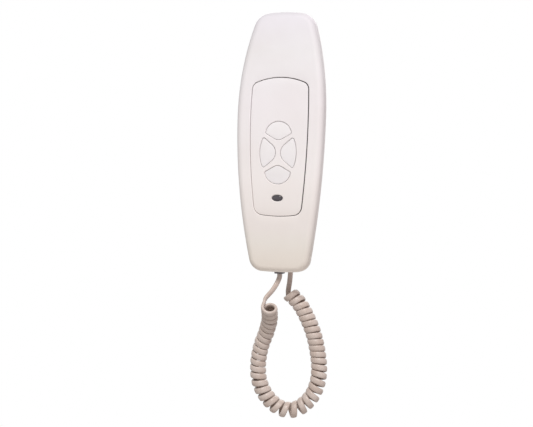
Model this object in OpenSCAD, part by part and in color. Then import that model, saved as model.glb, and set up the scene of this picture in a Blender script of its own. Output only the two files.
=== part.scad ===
// Wall intercom handset: a bowed two-part handset with four petal buttons, hung on a small
// wall base and joined to it by a curly cord. Millimetres, +Z up. The origin lies on the wall,
// midway between the two wall screws, and the handset faces -Y.

/* [Handset outline] */
// Length of the handset
handset_l = 208; // [190:1:225]
// Greatest width of the handset
handset_w = 70; // [66:0.5:78]
// Height of the widest place above the middle
widest_z = 21; // [10:1:30]
// Radius of the long side below the widest place
side_r_low = 630; // [500:10:800]
// Radius of the long side above the widest place
side_r_up = 260; // [240:5:320]
// Radius of the top end
top_r = 100; // [80:5:140]
// Radius of the bottom end
bottom_r = 240; // [180:10:320]
// Radius of the two top corners
top_corner_r = 13.5; // [12:0.5:16]
// Radius of the two bottom corners
bottom_corner_r = 11; // [10:0.5:14]

/* [Handset section] */
// Distance from the wall to the foremost point of the handset
face_reach = 45; // [44:0.5:50]
// Thickness of the handset at the apex of its bow
handset_t = 23; // [22.5:0.25:24]
// Radius of the bowed front
bow_r = 535; // [500:5:620]
// Radius of the hollow back
rear_bow_r = 450; // [430:5:480]
// Height of the bow's apex
bow_z = -10; // [-14:1:-6]
// Radius of the front edge
edge_r = 5; // [4.5:0.25:6]
// Wall of both shells
wall = 2.2; // [1.8:0.1:2.6]
// Depth of the front shell at its sides
front_depth = 12.5; // [11.5:0.25:13]
// Inward draft of the rear shell
rear_draft = 3; // [2:0.25:3.5]
// Radius of the rear edge
rear_edge_r = 6; // [5:0.25:6.5]
// Shadow gap between the two shells
part_gap = 0.3; // [0.2:0.05:0.5]
// Height of the rear shell's inner lip above the gap
lip_h = 1.8; // [1.2:0.1:2.4]
// Thickness of that lip
lip_t = 1.2; // [1:0.1:1.5]

/* [Button panel] */
// Width of the panel's opening
panel_w = 47; // [44:0.2:50]
// Height of the panel's widest place
panel_wide_z = 17.5; // [12:0.5:22]
// Top of the panel's opening
panel_top = 50.7; // [48:0.1:52]
// Bottom of the panel's opening
panel_bottom = -59.5; // [-62:0.5:-57]
// Radius of the panel's side below its widest place
panel_r_low = 615; // [500:5:700]
// Radius of the panel's side above its widest place
panel_r_up = 540; // [450:5:650]
// Radius of the panel's arched top
panel_top_r = 50; // [42:1:56]
// Radius of the panel's bottom edge
panel_bottom_r = 100; // [85:5:140]
// Radius of the panel's top corners
panel_top_corner = 6.5; // [6:0.25:8]
// Radius of the panel's bottom corners
panel_bottom_corner = 7.5; // [6.5:0.25:9]
// Gap between the panel and its opening
panel_gap = 0.45; // [0.3:0.05:0.5]
// How far the panel lies below the shell's face
panel_sunk = 0.5; // [0:0.05:0.6]
// Thickness of the panel below the shell's face
panel_t = 3.2; // [3.1:0.05:3.3]
// Reach of the panel's flange behind the shell
panel_flange = 2; // [1.5:0.1:2.5]

/* [Buttons] */
// Height of the middle of the four petals
keys_z = -9.25; // [-11:0.25:-8]
// Place of the petals and the indicator across the panel
keys_x = -0.5; // [-0.75:0.25:0.5]
// Distance from the middle to the nose of the upper and lower petals
petal_v_start = 10.1; // [9.8:0.1:10.6]
// Radius of that nose
petal_v_nose_r = 6.3; // [5.8:0.1:6.8]
// Angle between the flanks of those petals and their axis
petal_v_flank = 59; // [57:0.5:61]
// Distance from the middle to the far edge of those petals
petal_v_reach = 24.8; // [24:0.1:25.4]
// Radius of that far edge
petal_v_outer_r = 11.1; // [10.6:0.1:11.6]
// Distance from the middle to the nose of the side petals
petal_h_start = 1.9; // [1.7:0.1:2.4]
// Radius of that nose
petal_h_nose_r = 8.4; // [7.8:0.1:9]
// Angle between the flanks of the side petals and their axis
petal_h_flank = 39; // [38:0.5:41]
// Distance from the middle to the far edge of the side petals
petal_h_reach = 14.8; // [14.4:0.1:15.2]
// Radius of that far edge
petal_h_outer_r = 30; // [26:1:36]
// Radius of the petals' corners
petal_corner_r = 1; // [0.8:0.1:1.4]
// Gap round each button
key_gap = 0.3; // [0.25:0.05:0.4]
// How far a button's face lies below the shell's face
key_sunk = 0.6; // [0.4:0.05:0.8]
// Depth of a button's back below the shell's apex
key_depth = 4.9; // [4.85:0.05:5.2]
// Thickness of a button's flange
key_flange_t = 0.9; // [0.7:0.05:0.95]
// Reach of that flange past the petal
key_flange_w = 0.7; // [0.6:0.05:0.8]
// Travel of a button
key_travel = 1; // [0.6:0.1:1.2]
// Width of the indicator window
lamp_w = 8.4; // [7:0.2:9]
// Height of the indicator window
lamp_h = 4.8; // [4:0.2:5]
// Height at which the indicator sits
lamp_z = -45; // [-46:0.2:-44]

/* [Handset inside] */
// Distance from the top end to the middle of the earpiece
ear_inset = 38; // [36:0.5:40]
// Radius of the earpiece cap
ear_r = 17.5; // [16.5:0.25:18]
// Radius of each hole in the earpiece
ear_hole_r = 1; // [0.8:0.1:1.2]
// Distance from the bottom end to the microphone
mic_inset = 26; // [25:0.5:29]
// Radius of the microphone capsule
mic_r = 4.85; // [4.5:0.05:5.2]
// Distance from the top end to the upper case screw
top_screw_inset = 13; // [12.5:0.25:14]
// Distance from the bottom end to the lower case screws
low_screw_inset = 13; // [12.5:0.25:15]
// Distance from the middle to each lower case screw
low_screw_x = 15; // [14:0.5:16]
// Thickness of every circuit board
board_t = 1.6; // [1.2:0.1:1.8]
// Room left in front of the mat under a pressed button
dome_room = 0.9; // [0.7:0.1:1.2]
// Width of the button board
board_w = 38; // [36:0.5:42]

/* [Plugs and sockets] */
// Width of a handset plug
plug_w = 7.6; // [7.4:0.05:7.8]
// Thickness of a handset plug
plug_t = 6.5; // [6.3:0.05:6.7]
// Length of a handset plug
plug_l = 13.5; // [13:0.25:14.5]
// How far a plug stands out of its housing
plug_out = 1.6; // [1.2:0.1:2.4]
// Clearance of a plug in its socket
plug_gap = 0.15; // [0.1:0.05:0.25]
// Wall of a socket round its plug
jack_wall = 1.9; // [1.7:0.1:2.1]
// Place of the handset's jack across its lower end
jack_x = -1.25; // [-2:0.25:0]
// Length of a socket
jack_l = 14; // [13:0.5:15]

/* [Curly cord] */
// Width of the flat cord
cord_w = 4.4; // [4:0.1:4.5]
// Thickness of the flat cord
cord_t = 2.6; // [2.4:0.1:2.8]
// Radius of the curls at the middle of the cord
curl_r = 5.3; // [5:0.1:5.5]
// Number of whole curls
curl_turns = 38; // [32:1:38]

/* [Wall base] */
// Width of the base
base_w = 52; // [50:0.5:56]
// Height of the base
base_l = 122; // [120:0.5:124]
// Height of the middle of the base
base_z = -3; // [-4:0.25:-2]
// Radius of the base's corners
base_corner_r = 9; // [7:0.5:11]
// Wall of the base cover
base_wall = 2; // [1.8:0.1:2.2]
// Gap between the base and the back of the handset
cradle_gap = 1.5; // [1.4:0.1:1.8]
// Thickness of the wall plate
plate_t = 2.2; // [2:0.1:2.6]
// Distance between the two wall screws
wall_screw_pitch = 60; // [60:0.25:61]
// Radius of a wall screw hole
wall_hole_r = 2.1; // [1.8:0.1:2.3]
// Radius of the cable entry
cable_r = 6; // [5:0.25:6.5]
// Height of the cable entry
cable_z = 45; // [44:0.25:46]
// Distance from the middle to the base socket
base_jack_x = 4.5; // [3:0.25:5]
// Width of the hook lug
lug_w = 14; // [12:0.5:16]
// Thickness of the hook lug
lug_t = 5; // [4:0.25:6]
// Length of the lug inside the handset
lug_in = 6; // [4:0.5:7]
// Slope of the lug above the level
lug_slope = 30; // [26:1:34]
// Height at which the lug enters the handset
lug_z = 30; // [29:0.25:31]
// Clearance round the lug
lug_gap = 0.35; // [0.25:0.05:0.5]
// Travel of the hook plunger
hook_travel = 3; // [2:0.1:3.2]
// Radius of the hook plunger
hook_r = 3; // [2.5:0.1:3.4]
// Running clearance of the hook plunger
hook_gap = 0.08; // [0.05:0.01:0.1]

/* [Hidden] */
$fn = 48;

// Colours
ivory = "#ece5e0";
ivory_rear = "#e4dcd6";
cord_grey = "#c9bcb2";
silicone = "#8f8f8c";
board_green = "#2f6b47";
smoke = "#3a3439";
steel = "#b9bbbd";
black = "#26262a";
foam = "#5a5a5c";
copper = "#b8652f";

// Clearances
fit_gap = 0.2;
seat_gap = 0.1;
run_gap = 0.05;

// Handset surfaces
top_z = handset_l / 2;
bottom_z = -handset_l / 2;
front_axis_y = bow_r - face_reach;
rear_apex_y = handset_t - face_reach;
rear_axis_y = rear_apex_y + rear_bow_r;
ahead_y = -face_reach - 10;
bow_span = 2 * handset_w;
function sag(r, z) = r - sqrt(r * r - (z - bow_z) * (z - bow_z));
function face_y(z) = -face_reach + sag(bow_r, z);
function rear_y(z) = rear_apex_y + sag(rear_bow_r, z);
function rear_tilt(z) = asin((z - bow_z) / rear_bow_r);
function part_y(z) = face_y(z) + front_depth;
function dome_y(z) = rear_axis_y - sqrt(pow(rear_bow_r - cradle_gap, 2) - pow(z - bow_z, 2));

// Vectors and curves
function unit(v) = v / norm(v);
function mix(a, b, t) = a + (b - a) * t;
function spline_span(p, i, u) =
  let (a = p[max(i - 1, 0)], b = p[i], c = p[i + 1], d = p[min(i + 2, len(p) - 1)])
  (2 * b + (c - a) * u + (2 * a - 5 * b + 4 * c - d) * u * u
    + (3 * b - a - 3 * c + d) * u * u * u) / 2;
function spline(p, t) =
  let (i = min(floor(t), len(p) - 2))
  spline_span(p, i, t - i);
function spline_run(p, steps) = [for (k = [0 : (len(p) - 1) * steps]) spline(p, k / steps)];
function lengths(p) = [for (i = 0, s = 0; i < len(p);
  s = s + (i + 1 < len(p) ? norm(p[i + 1] - p[i]) : 0), i = i + 1) s];

// Outlines of tangent arcs: half width, widest height, low and upper side radius, top, bottom,
// top and bottom radius, top and bottom corner radius
handset_shape = [handset_w / 2, widest_z, side_r_low, side_r_up, top_z, bottom_z,
  top_r, bottom_r, top_corner_r, bottom_corner_r];
panel_shape = [panel_w / 2, panel_wide_z, panel_r_low, panel_r_up, panel_top, panel_bottom,
  panel_top_r, panel_bottom_r, panel_top_corner, panel_bottom_corner];
end_steps = 4;
corner_steps = 5;
side_steps = 6;
function crossing(c1, r1, c2, r2) =
  let (v = c2 - c1, d = norm(v), a = (r1 * r1 - r2 * r2 + d * d) / (2 * d))
  let (h = sqrt(r1 * r1 - a * a), p = c1 + v * a / d, w = [-v[1], v[0]] * h / d)
  w[0] > 0 ? p + w : p - w;
function heading(v) = atan2(v[1], v[0]);
function arc(c, r, a0, a1, n) =
  [for (i = [0 : n - 1]) let (a = mix(a0, a1, i / n)) c + r * [cos(a), sin(a)]];
function half_outline(o, d) =
  let (low = [o[0] - o[2], o[1]], up = [o[0] - o[3], o[1]])
  let (top = [0, o[4] - o[6]], bottom = [0, o[5] + o[7]])
  let (kt = crossing(up, o[3] - o[8], top, o[6] - o[8]))
  let (kb = crossing(low, o[2] - o[9], bottom, o[7] - o[9]))
  let (b1 = heading(kb - bottom), b2 = heading(kb - low))
  let (t1 = heading(kt - up), t2 = heading(kt - top))
  concat(
    arc(bottom, o[7] - d, -90, b1, end_steps),
    arc(kb, o[9] - d, b1, b2, corner_steps),
    arc(low, o[2] - d, b2, 0, side_steps),
    arc(up, o[3] - d, 0, t1, side_steps),
    arc(kt, o[8] - d, t1, t2, corner_steps),
    arc(top, o[6] - d, t2, 90, end_steps),
    [[0, o[4] - d]]
  );
function outline(o, d) =
  let (h = half_outline(o, d))
  concat(h, [for (i = [len(h) - 2 : -1 : 1]) [-h[i][0], h[i][1]]]);
function at_face(pts, h) = [for (p = pts) [p[0], face_y(p[1]) + h, p[1]]];
function at_rear(pts, h) = [for (p = pts) [p[0], rear_y(p[1]) + h, p[1]]];
function shrink(pts, z, s) = [for (p = pts) [p[0] * s, mix(z, p[1], s)]];

// Rings of points joined into a closed skin
function flat_list(rings) = [for (r = rings) each r];
function band(a, b, n) = [for (i = [0 : n - 1]) let (j = (i + 1) % n)
  each [[a + i, b + i, b + j], [a + i, b + j, a + j]]];
function fan(first, n, flip) = [for (i = [1 : n - 2])
  flip ? [first, first + i + 1, first + i] : [first, first + i, first + i + 1]];
module hoop(rings) {
  n = len(rings[0]);
  k = len(rings);
  polyhedron(flat_list(rings),
    [for (r = [0 : k - 1]) each band(((r + 1) % k) * n, r * n, n)], convexity = 8);
}
module tube(rings) {
  n = len(rings[0]);
  k = len(rings);
  polyhedron(flat_list(rings), concat(
    [for (r = [0 : k - 2]) each band(r * n, (r + 1) * n, n)],
    fan(0, n, false), fan((k - 1) * n, n, true)), convexity = 8);
}
module dish(rings, first, last) {
  n = len(rings[0]);
  k = len(rings);
  tip = n * k;
  polyhedron(concat(flat_list(rings), [first, last]), concat(
    [for (r = [0 : k - 2]) each band(r * n, (r + 1) * n, n)],
    [for (i = [0 : n - 1]) [tip, i, (i + 1) % n]],
    [for (i = [0 : n - 1]) [tip + 1, tip - n + (i + 1) % n, tip - n + i]]), convexity = 8);
}

// Shapes drawn on the wall plane and given depth
module slab(y_back, y_front) {
  translate([0, y_back, 0]) rotate([90, 0, 0]) linear_extrude(y_back - y_front) children();
}
module pin(x, z, r, y_back, y_front) {
  translate([x, y_back, z]) rotate([90, 0, 0]) cylinder(r = r, h = y_back - y_front);
}
module bow_core(r, axis_y) {
  translate([0, axis_y, bow_z]) rotate([0, 90, 0])
    cylinder(r = r, h = bow_span, center = true, $fn = 256);
}
module face_layer(depth_front, depth_back) {
  difference() {
    intersection() {
      slab(0, ahead_y) children();
      bow_core(bow_r - depth_front, front_axis_y);
    }
    bow_core(bow_r - depth_back, front_axis_y);
  }
}
module on_rear(z) {
  translate([0, rear_y(z), z]) rotate([-90 - rear_tilt(z), 0, 0]) children();
}
module rounded_rect(w, h, r) {
  square([w - 2 * r, h], center = true);
  square([w, h - 2 * r], center = true);
  for (x = [-1, 1], z = [-1, 1])
    translate([x * (w / 2 - r), z * (h / 2 - r)]) circle(r);
}
module oval(w, h) {
  polygon([for (a = [0 : 10 : 350]) [w / 2 * cos(a), h / 2 * sin(a)]]);
}
module screw(x, z, seat_y, shank_r, shank_l, head_r, head_t) {
  slot_w = head_r / 4;
  pin(x, z, shank_r, seat_y + head_t / 2, seat_y - shank_l);
  difference() {
    pin(x, z, head_r, seat_y + head_t, seat_y);
    for (a = [0, 90]) translate([x, seat_y + head_t, z]) rotate([0, a, 0])
      cube([head_r, head_t, slot_w], center = true);
  }
}

// Case screws: place and the depth of each head's seat
case_shank_r = 1.1;
case_head_r = 2.4;
case_head_t = 1.8;
case_shank_l = 8;
case_boss_r = 3.2;
case_seat_t = 2;
case_screws = [[0, top_z - top_screw_inset], [-low_screw_x, bottom_z + low_screw_inset],
  [low_screw_x, bottom_z + low_screw_inset]];
function case_seat_y(z) = part_y(z) + part_gap + case_seat_t;

// Sockets and plugs: the mouth looks down, the latch looks to the front
latch_w = 3.2;
latch_t = 1.1;
jack_w = plug_w + 2 * plug_gap + 2 * jack_wall;
jack_d = plug_t + 2 * plug_gap + 2 * jack_wall;
plug_in = plug_l - plug_out;
jack_y = part_y(bottom_z);
jack_z = bottom_z + wall + fit_gap;
base_bottom = base_z - base_l / 2;
base_top = base_z + base_l / 2;
function cover_inside_y(z) = dome_y(z) + base_wall;
jack_sunk = max(0, jack_d + plate_t + seat_gap + cover_inside_y(base_bottom));
base_jack_y = -plate_t - jack_d / 2 + jack_sunk;
base_jack_z = base_bottom + base_wall + fit_gap;
module plug_space(grow) {
  translate([-plug_w / 2 - grow, -plug_t / 2 - grow, -plug_out - grow])
    cube([plug_w + 2 * grow, plug_t + 2 * grow, plug_l + 2 * grow]);
  translate([-latch_w / 2 - grow, -plug_t / 2 - latch_t - grow, -plug_out / 2 - grow])
    cube([latch_w + 2 * grow, latch_t + plug_t / 2, plug_in + 2 * grow]);
}
module plug() {
  plug_space(0);
}
module jack(mouth_lift) {
  difference() {
    translate([-jack_w / 2, -jack_d / 2, mouth_lift]) cube([jack_w, jack_d, jack_l]);
    plug_space(plug_gap);
  }
}

// The two shells
face_u = [1 / 3, 2 / 3];
edge_angles = [18, 36, 54, 72, 90];
inner_edge_angles = [90, 45, 0];
rear_angles = [0, 22.5, 45, 67.5, 90];
rear_scales = [0.85, 0.7, 0.55, 0.4, 0.25, 0.12];
lead_in = 0.4;
in_r = edge_r - wall;
rear_in_r = rear_edge_r - wall;
function blend_rings(a, b, us, h) =
  [for (u = us) at_face([for (i = [0 : len(a) - 1]) mix(a[i], b[i], u)], h)];
front_rings = let (open = outline(panel_shape, 0), open_edge = outline(panel_shape, -lead_in),
    face_edge = outline(handset_shape, edge_r)) concat(
  [at_face(open, wall), at_face(open, lead_in), at_face(open_edge, 0)],
  blend_rings(open_edge, face_edge, face_u, 0),
  [at_face(face_edge, 0)],
  [for (a = edge_angles)
    at_face(outline(handset_shape, edge_r * (1 - sin(a))), edge_r * (1 - cos(a)))],
  [at_face(outline(handset_shape, 0), front_depth)],
  [at_face(outline(handset_shape, wall), front_depth)],
  [for (a = inner_edge_angles)
    at_face(outline(handset_shape, edge_r - in_r * sin(a)), edge_r - in_r * cos(a))],
  blend_rings(face_edge, open, face_u, wall));
rear_rings = let (draft = rear_draft, lip = wall + fit_gap, rim = front_depth + part_gap,
    rear_edge = outline(handset_shape, draft + rear_edge_r)) concat(
  [for (i = [len(rear_scales) - 1 : -1 : 0]) at_rear(shrink(rear_edge, bow_z, rear_scales[i]), 0)],
  [for (i = [4 : -1 : 0]) let (a = rear_angles[i]) at_rear(
    outline(handset_shape, draft + rear_edge_r * (1 - cos(a))), -rear_edge_r * (1 - sin(a)))],
  [at_face(outline(handset_shape, 0), rim), at_face(outline(handset_shape, lip), rim)],
  [at_face(outline(handset_shape, lip), rim - part_gap - lip_h)],
  [at_face(outline(handset_shape, lip + lip_t), rim - part_gap - lip_h)],
  [at_face(outline(handset_shape, lip + lip_t), rim)],
  [for (a = rear_angles) at_rear(outline(handset_shape, draft + rear_edge_r - rear_in_r * cos(a)),
    -rear_edge_r + rear_in_r * sin(a))],
  [for (s = rear_scales) at_rear(shrink(rear_edge, bow_z, s), -wall)]);

module front_shell() {
  color(ivory) difference() {
    union() {
      hoop(front_rings);
      for (s = case_screws) pin(s[0], s[1], case_boss_r, part_y(s[1]), face_y(s[1]) + wall / 2);
    }
    for (s = case_screws)
      pin(s[0], s[1], case_shank_r + run_gap, part_y(s[1]) + 1, part_y(s[1]) - case_shank_l);
    translate([jack_x, jack_y, bottom_z]) plug_space(plug_gap + fit_gap);
  }
}
module rear_shell() {
  tube_r = case_head_r + fit_gap + wall / 2;
  color(ivory_rear) difference() {
    union() {
      dish(rear_rings, [0, rear_y(bow_z), bow_z], [0, rear_y(bow_z) - wall, bow_z]);
      for (s = case_screws)
        pin(s[0], s[1], tube_r, rear_y(s[1]) - wall / 2, part_y(s[1]) + part_gap);
      on_rear(mic_z) translate([0, 0, -mic_collar_l])
        cylinder(r = mic_collar_r, h = mic_collar_l - wall / 2);
    }
    for (s = case_screws) {
      pin(s[0], s[1], case_shank_r + fit_gap, rear_y(s[1]), part_y(s[1]) - 1);
      pin(s[0], s[1], case_head_r + fit_gap, rear_y(s[1]) + rear_edge_r, case_seat_y(s[1]));
    }
    on_rear(ear_z) translate([0, 0, -2 * rear_edge_r])
      cylinder(r = ear_r + fit_gap, h = 4 * rear_edge_r);
    on_rear(mic_z) translate([0, 0, -2 * mic_collar_l])
      cylinder(r = mic_boot_r + seat_gap, h = 2 * mic_collar_l - wall - seat_gap);
    on_rear(mic_z) for (x = [-1, 0, 1]) translate([x * mic_hole_pitch, 0, -2 * wall])
      cylinder(r = mic_hole_r, h = 4 * wall);
    hook_path(lug_gap);
    translate([jack_x, jack_y, bottom_z]) plug_space(plug_gap + fit_gap);
    translate([jack_x - jack_w / 2 - fit_gap, jack_y - jack_d / 2 - fit_gap, jack_z - fit_gap])
      cube([jack_w + 2 * fit_gap, jack_d + 2 * fit_gap, jack_l]);
  }
}

// The button panel, its four buttons and what lies behind them
key_back_y = -face_reach + key_depth;
mat_t = 1;
board_front_y = key_back_y + key_travel + dome_room + mat_t;
board_back_y = board_front_y + board_t;
board_margin = 2.5;
board_top = panel_top - board_margin;
board_bottom = panel_bottom + board_margin;
post_r = 2.4;
post_inset = 6;
post_top_x = 15;
post_low_x = 13;
board_screw_r = 0.9;
board_screw_l = 2.5;
board_head_r = 1.8;
board_head_t = 1.2;
board_posts = [[-post_top_x, board_top - post_inset], [post_top_x, board_top - post_inset],
  [-post_low_x, board_bottom + post_inset], [post_low_x, board_bottom + post_inset]];
lens_recess = 0.2;
lens_gap = 0.1;
lens_flange = 1;
lens_flange_t = 0.9;
lens_back_y = face_y(lamp_z - lamp_h) + panel_t + seat_gap + lens_flange_t;
mat_margin = 2;
mat_corner_r = 3;
dome_r = 4.2;
dome_tip_r = 3.2;
dome_v = (petal_v_start + petal_v_reach) / 2;
dome_out = 1.2;
dome_h = (petal_h_start + petal_h_reach) / 2 + dome_out;
module upper_petal() {
  spread = petal_v_reach * tan(petal_v_flank);
  intersection() {
    translate([0, petal_v_start + petal_v_nose_r]) offset(r = petal_v_nose_r, $fn = 96)
      polygon([[0, 0], [spread, petal_v_reach], [-spread, petal_v_reach]]);
    translate([0, petal_v_reach - petal_v_outer_r]) circle(petal_v_outer_r, $fn = 96);
  }
}
module right_petal() {
  spread = petal_h_reach * tan(petal_h_flank);
  intersection() {
    translate([petal_h_start + petal_h_nose_r, 0]) offset(r = petal_h_nose_r, $fn = 96)
      polygon([[0, 0], [petal_h_reach, -spread], [petal_h_reach, spread]]);
    translate([petal_h_reach - petal_h_outer_r, 0]) circle(petal_h_outer_r, $fn = 192);
  }
}
module petal(side, grow) {
  translate([keys_x, keys_z]) offset(r = petal_corner_r + grow, $fn = 32) offset(delta = -petal_corner_r) {
    if (side == "up") upper_petal();
    if (side == "down") mirror([0, 1]) upper_petal();
    if (side == "right") right_petal();
    if (side == "left") mirror([1, 0]) right_petal();
  }
}
module button(side) {
  color(ivory) {
    intersection() {
      slab(key_back_y, ahead_y) petal(side, -key_gap);
      bow_core(bow_r - key_sunk, front_axis_y);
    }
    slab(key_back_y, key_back_y - key_flange_t) petal(side, key_flange_w);
  }
}
module button_panel() {
  color(ivory) difference() {
    union() {
      face_layer(panel_sunk, panel_t) polygon(outline(panel_shape, panel_gap));
      face_layer(wall + fit_gap, panel_t) polygon(outline(panel_shape, -panel_flange));
      for (p = board_posts) pin(p[0], p[1], post_r, board_front_y, face_y(p[1]) + panel_t / 2);
    }
    for (side = ["up", "down", "left", "right"]) slab(0, ahead_y) petal(side, 0);
    slab(0, ahead_y) translate([keys_x, lamp_z]) oval(lamp_w + 2 * lens_gap, lamp_h + 2 * lens_gap);
    for (p = board_posts)
      pin(p[0], p[1], board_screw_r + run_gap, board_front_y + 1, board_front_y - board_screw_l);
  }
}
module upper_button() {
  button("up");
}
module lower_button() {
  button("down");
}
module left_button() {
  button("left");
}
module right_button() {
  button("right");
}
module button_mat() {
  mat_w = 2 * (petal_h_reach + mat_margin);
  mat_l = 2 * (petal_v_reach + mat_margin);
  color(silicone) {
    slab(board_front_y, board_front_y - mat_t) translate([keys_x, keys_z])
      rounded_rect(mat_w, mat_l, mat_corner_r);
    for (d = [[0, dome_v], [0, -dome_v], [dome_h, 0], [-dome_h, 0]])
      translate([keys_x + d[0], board_front_y - mat_t / 2, keys_z + d[1]]) rotate([90, 0, 0])
        cylinder(r1 = dome_r, r2 = dome_tip_r, h = board_front_y - mat_t / 2 - key_back_y - seat_gap);
  }
}
module button_board() {
  color(board_green) difference() {
    slab(board_back_y, board_front_y) translate([0, (board_top + board_bottom) / 2])
      square([board_w, board_top - board_bottom], center = true);
    for (p = board_posts)
      pin(p[0], p[1], board_screw_r + fit_gap, board_back_y + 1, board_front_y - 1);
  }
}
module board_screws() {
  color(steel) for (p = board_posts)
    screw(p[0], p[1], board_back_y, board_screw_r, board_t + board_screw_l - fit_gap,
      board_head_r, board_head_t);
}
module indicator_lens() {
  color(smoke) {
    intersection() {
      slab(lens_back_y, ahead_y) translate([keys_x, lamp_z]) oval(lamp_w, lamp_h);
      bow_core(bow_r - panel_sunk - lens_recess, front_axis_y);
    }
    slab(lens_back_y, lens_back_y - lens_flange_t) translate([keys_x, lamp_z])
      oval(lamp_w + 2 * lens_flange, lamp_h + 2 * lens_flange);
  }
}
module indicator_lamp() {
  lamp_r = 1.5;
  lamp_rim = 0.4;
  color("#c9d8c4") {
    pin(keys_x, lamp_z, lamp_r + lamp_rim, board_front_y, board_front_y - lamp_rim * 2);
    pin(keys_x, lamp_z, lamp_r, board_front_y, lens_back_y + seat_gap);
  }
}

// The earpiece, from the rear face inwards
ear_z = top_z - ear_inset;
cap_t = 2.4;
cap_proud = 0.5;
cap_flange_w = 1.5;
cap_flange_t = 1.3;
collar_t = 1.4;
collar_l = 12;
gasket_t = 1.6;
capsule_gap = 0.4;
capsule_r = ear_r - collar_t - capsule_gap;
capsule_t = 8.4;
capsule_back = cap_t + gasket_t + capsule_t;
ear_row_pitch = 5;
ear_rows = [[1, 0], [6, ear_row_pitch], [12, 2 * ear_row_pitch]];
module receiver_cap() {
  collar_r = ear_r - fit_gap / 2;
  color(ivory_rear) on_rear(ear_z) difference() {
    union() {
      translate([0, 0, -cap_t]) cylinder(r = ear_r, h = cap_t + cap_proud);
      translate([0, 0, -collar_l]) cylinder(r = collar_r, h = collar_l - cap_t / 2);
      translate([0, 0, -wall - fit_gap * 2 - cap_flange_t])
        cylinder(r = ear_r + cap_flange_w, h = cap_flange_t);
    }
    translate([0, 0, -2 * collar_l]) cylinder(r = capsule_r + capsule_gap, h = 2 * collar_l - cap_t);
    for (row = ear_rows, i = [0 : row[0] - 1]) rotate([0, 0, 360 * i / row[0]])
      translate([row[1], 0, -2 * cap_t]) cylinder(r = ear_hole_r, h = 4 * cap_t, $fn = 24);
  }
}
module receiver_gasket() {
  color(foam) on_rear(ear_z) translate([0, 0, -cap_t - gasket_t]) difference() {
    cylinder(r = capsule_r, h = gasket_t);
    translate([0, 0, -1]) cylinder(r = ear_rows[2][1] + ear_hole_r + fit_gap, h = gasket_t + 2);
  }
}
module receiver_capsule() {
  magnet_r = 6;
  magnet_t = 2;
  color(black) on_rear(ear_z) {
    translate([0, 0, -capsule_back + magnet_t]) cylinder(r = capsule_r, h = capsule_t - magnet_t);
    translate([0, 0, -capsule_back]) cylinder(r = magnet_r, h = magnet_t + 1);
  }
}

// The microphone in its rubber boot
mic_z = bottom_z + mic_inset;
mic_l = 6.5;
mic_boot_t = 1.3;
mic_boot_r = mic_r + run_gap + mic_boot_t;
mic_boot_l = 6;
mic_collar_t = 1.4;
mic_collar_r = mic_boot_r + mic_collar_t;
mic_collar_l = 7;
mic_hole_r = 0.9;
mic_hole_pitch = 3;
mic_front = wall + fit_gap;
module microphone_boot() {
  color(silicone) on_rear(mic_z) translate([0, 0, -mic_front - mic_boot_l]) difference() {
    cylinder(r = mic_boot_r, h = mic_boot_l);
    translate([0, 0, -1]) cylinder(r = mic_r + run_gap, h = mic_boot_l + 2);
  }
}
module microphone_capsule() {
  color(steel) on_rear(mic_z) translate([0, 0, -mic_front - fit_gap - mic_l])
    cylinder(r = mic_r, h = mic_l);
}

// Wires inside the handset: short loops of six-sided tube between flat faces
wire_r = 0.5;
wire_sides = 6;
function wire_ring(p, t, ref) =
  let (u = unit(ref - (ref * t) * t), v = cross(t, u))
  [for (k = [0 : wire_sides - 1]) let (a = 360 * k / wire_sides)
    p + wire_r * (cos(a) * u + sin(a) * v)];
module wire(pts) {
  path = spline_run(pts, 2);
  last = len(path) - 1;
  tube([for (i = [0 : last]) wire_ring(path[i],
    unit(i == 0 ? pts[1] - pts[0] : i == last ? pts[len(pts) - 1] - pts[len(pts) - 2]
      : path[i + 1] - path[i - 1]), [1, 0, 0])]);
}
function rear_normal(z) = [0, cos(rear_tilt(z)), -sin(rear_tilt(z))];
function rear_point(x, z, depth) = [x, rear_y(z), z] - depth * rear_normal(z);
receiver_pad_x = 3;
mic_pad_x = 1.5;
jack_pad_near = 3.4;
jack_pad_far = 5;
// Straight end of a wire, its distance from the board, the run to the board's edge, the bend
// before the pad and the pad's distance from that edge
wire_stub = 2.5;
wire_hang = 3.5;
receiver_run = 15;
receiver_bend = 2;
receiver_pad_in = 4;
mic_hang = 4;
mic_run = 14;
mic_bend = 4;
mic_pad_in = 3;
jack_pin_y = 3;
jack_stub = 3;
jack_hang = 5;
jack_run = 12;
jack_pad_in = 7;
module receiver_wires() {
  pad_z = board_top - receiver_pad_in;
  color(copper) for (x = [-receiver_pad_x, receiver_pad_x]) wire([
    rear_point(x, ear_z, capsule_back), rear_point(x, ear_z, capsule_back + wire_stub),
    [x, board_back_y + wire_hang, board_top + receiver_run],
    [x, board_back_y + wire_hang, board_top + receiver_bend],
    [x, board_back_y + wire_stub, pad_z], [x, board_back_y, pad_z]]);
}
module microphone_wires() {
  depth = mic_front + fit_gap + mic_l;
  pad_z = board_bottom + mic_pad_in;
  color(copper) for (x = [-mic_pad_x, mic_pad_x]) wire([
    rear_point(x, mic_z, depth), rear_point(x, mic_z, depth + wire_stub),
    [x, board_back_y + mic_hang, board_bottom - mic_run],
    [x, board_back_y + wire_hang, board_bottom - mic_bend],
    [x, board_back_y + wire_stub, pad_z], [x, board_back_y, pad_z]]);
}
module jack_wires() {
  pad_z = board_bottom + jack_pad_in;
  pin_y = jack_y - jack_pin_y;
  color(copper) for (x = [-jack_pad_far, -jack_pad_near, jack_pad_near, jack_pad_far]) wire([
    [jack_x + x, pin_y, jack_z + jack_l], [jack_x + x, pin_y, jack_z + jack_l + jack_stub],
    [x, board_back_y + jack_hang, board_bottom - jack_run],
    [x, board_back_y + wire_hang, board_bottom],
    [x, board_back_y + wire_stub, pad_z], [x, board_back_y, pad_z]]);
}
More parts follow.
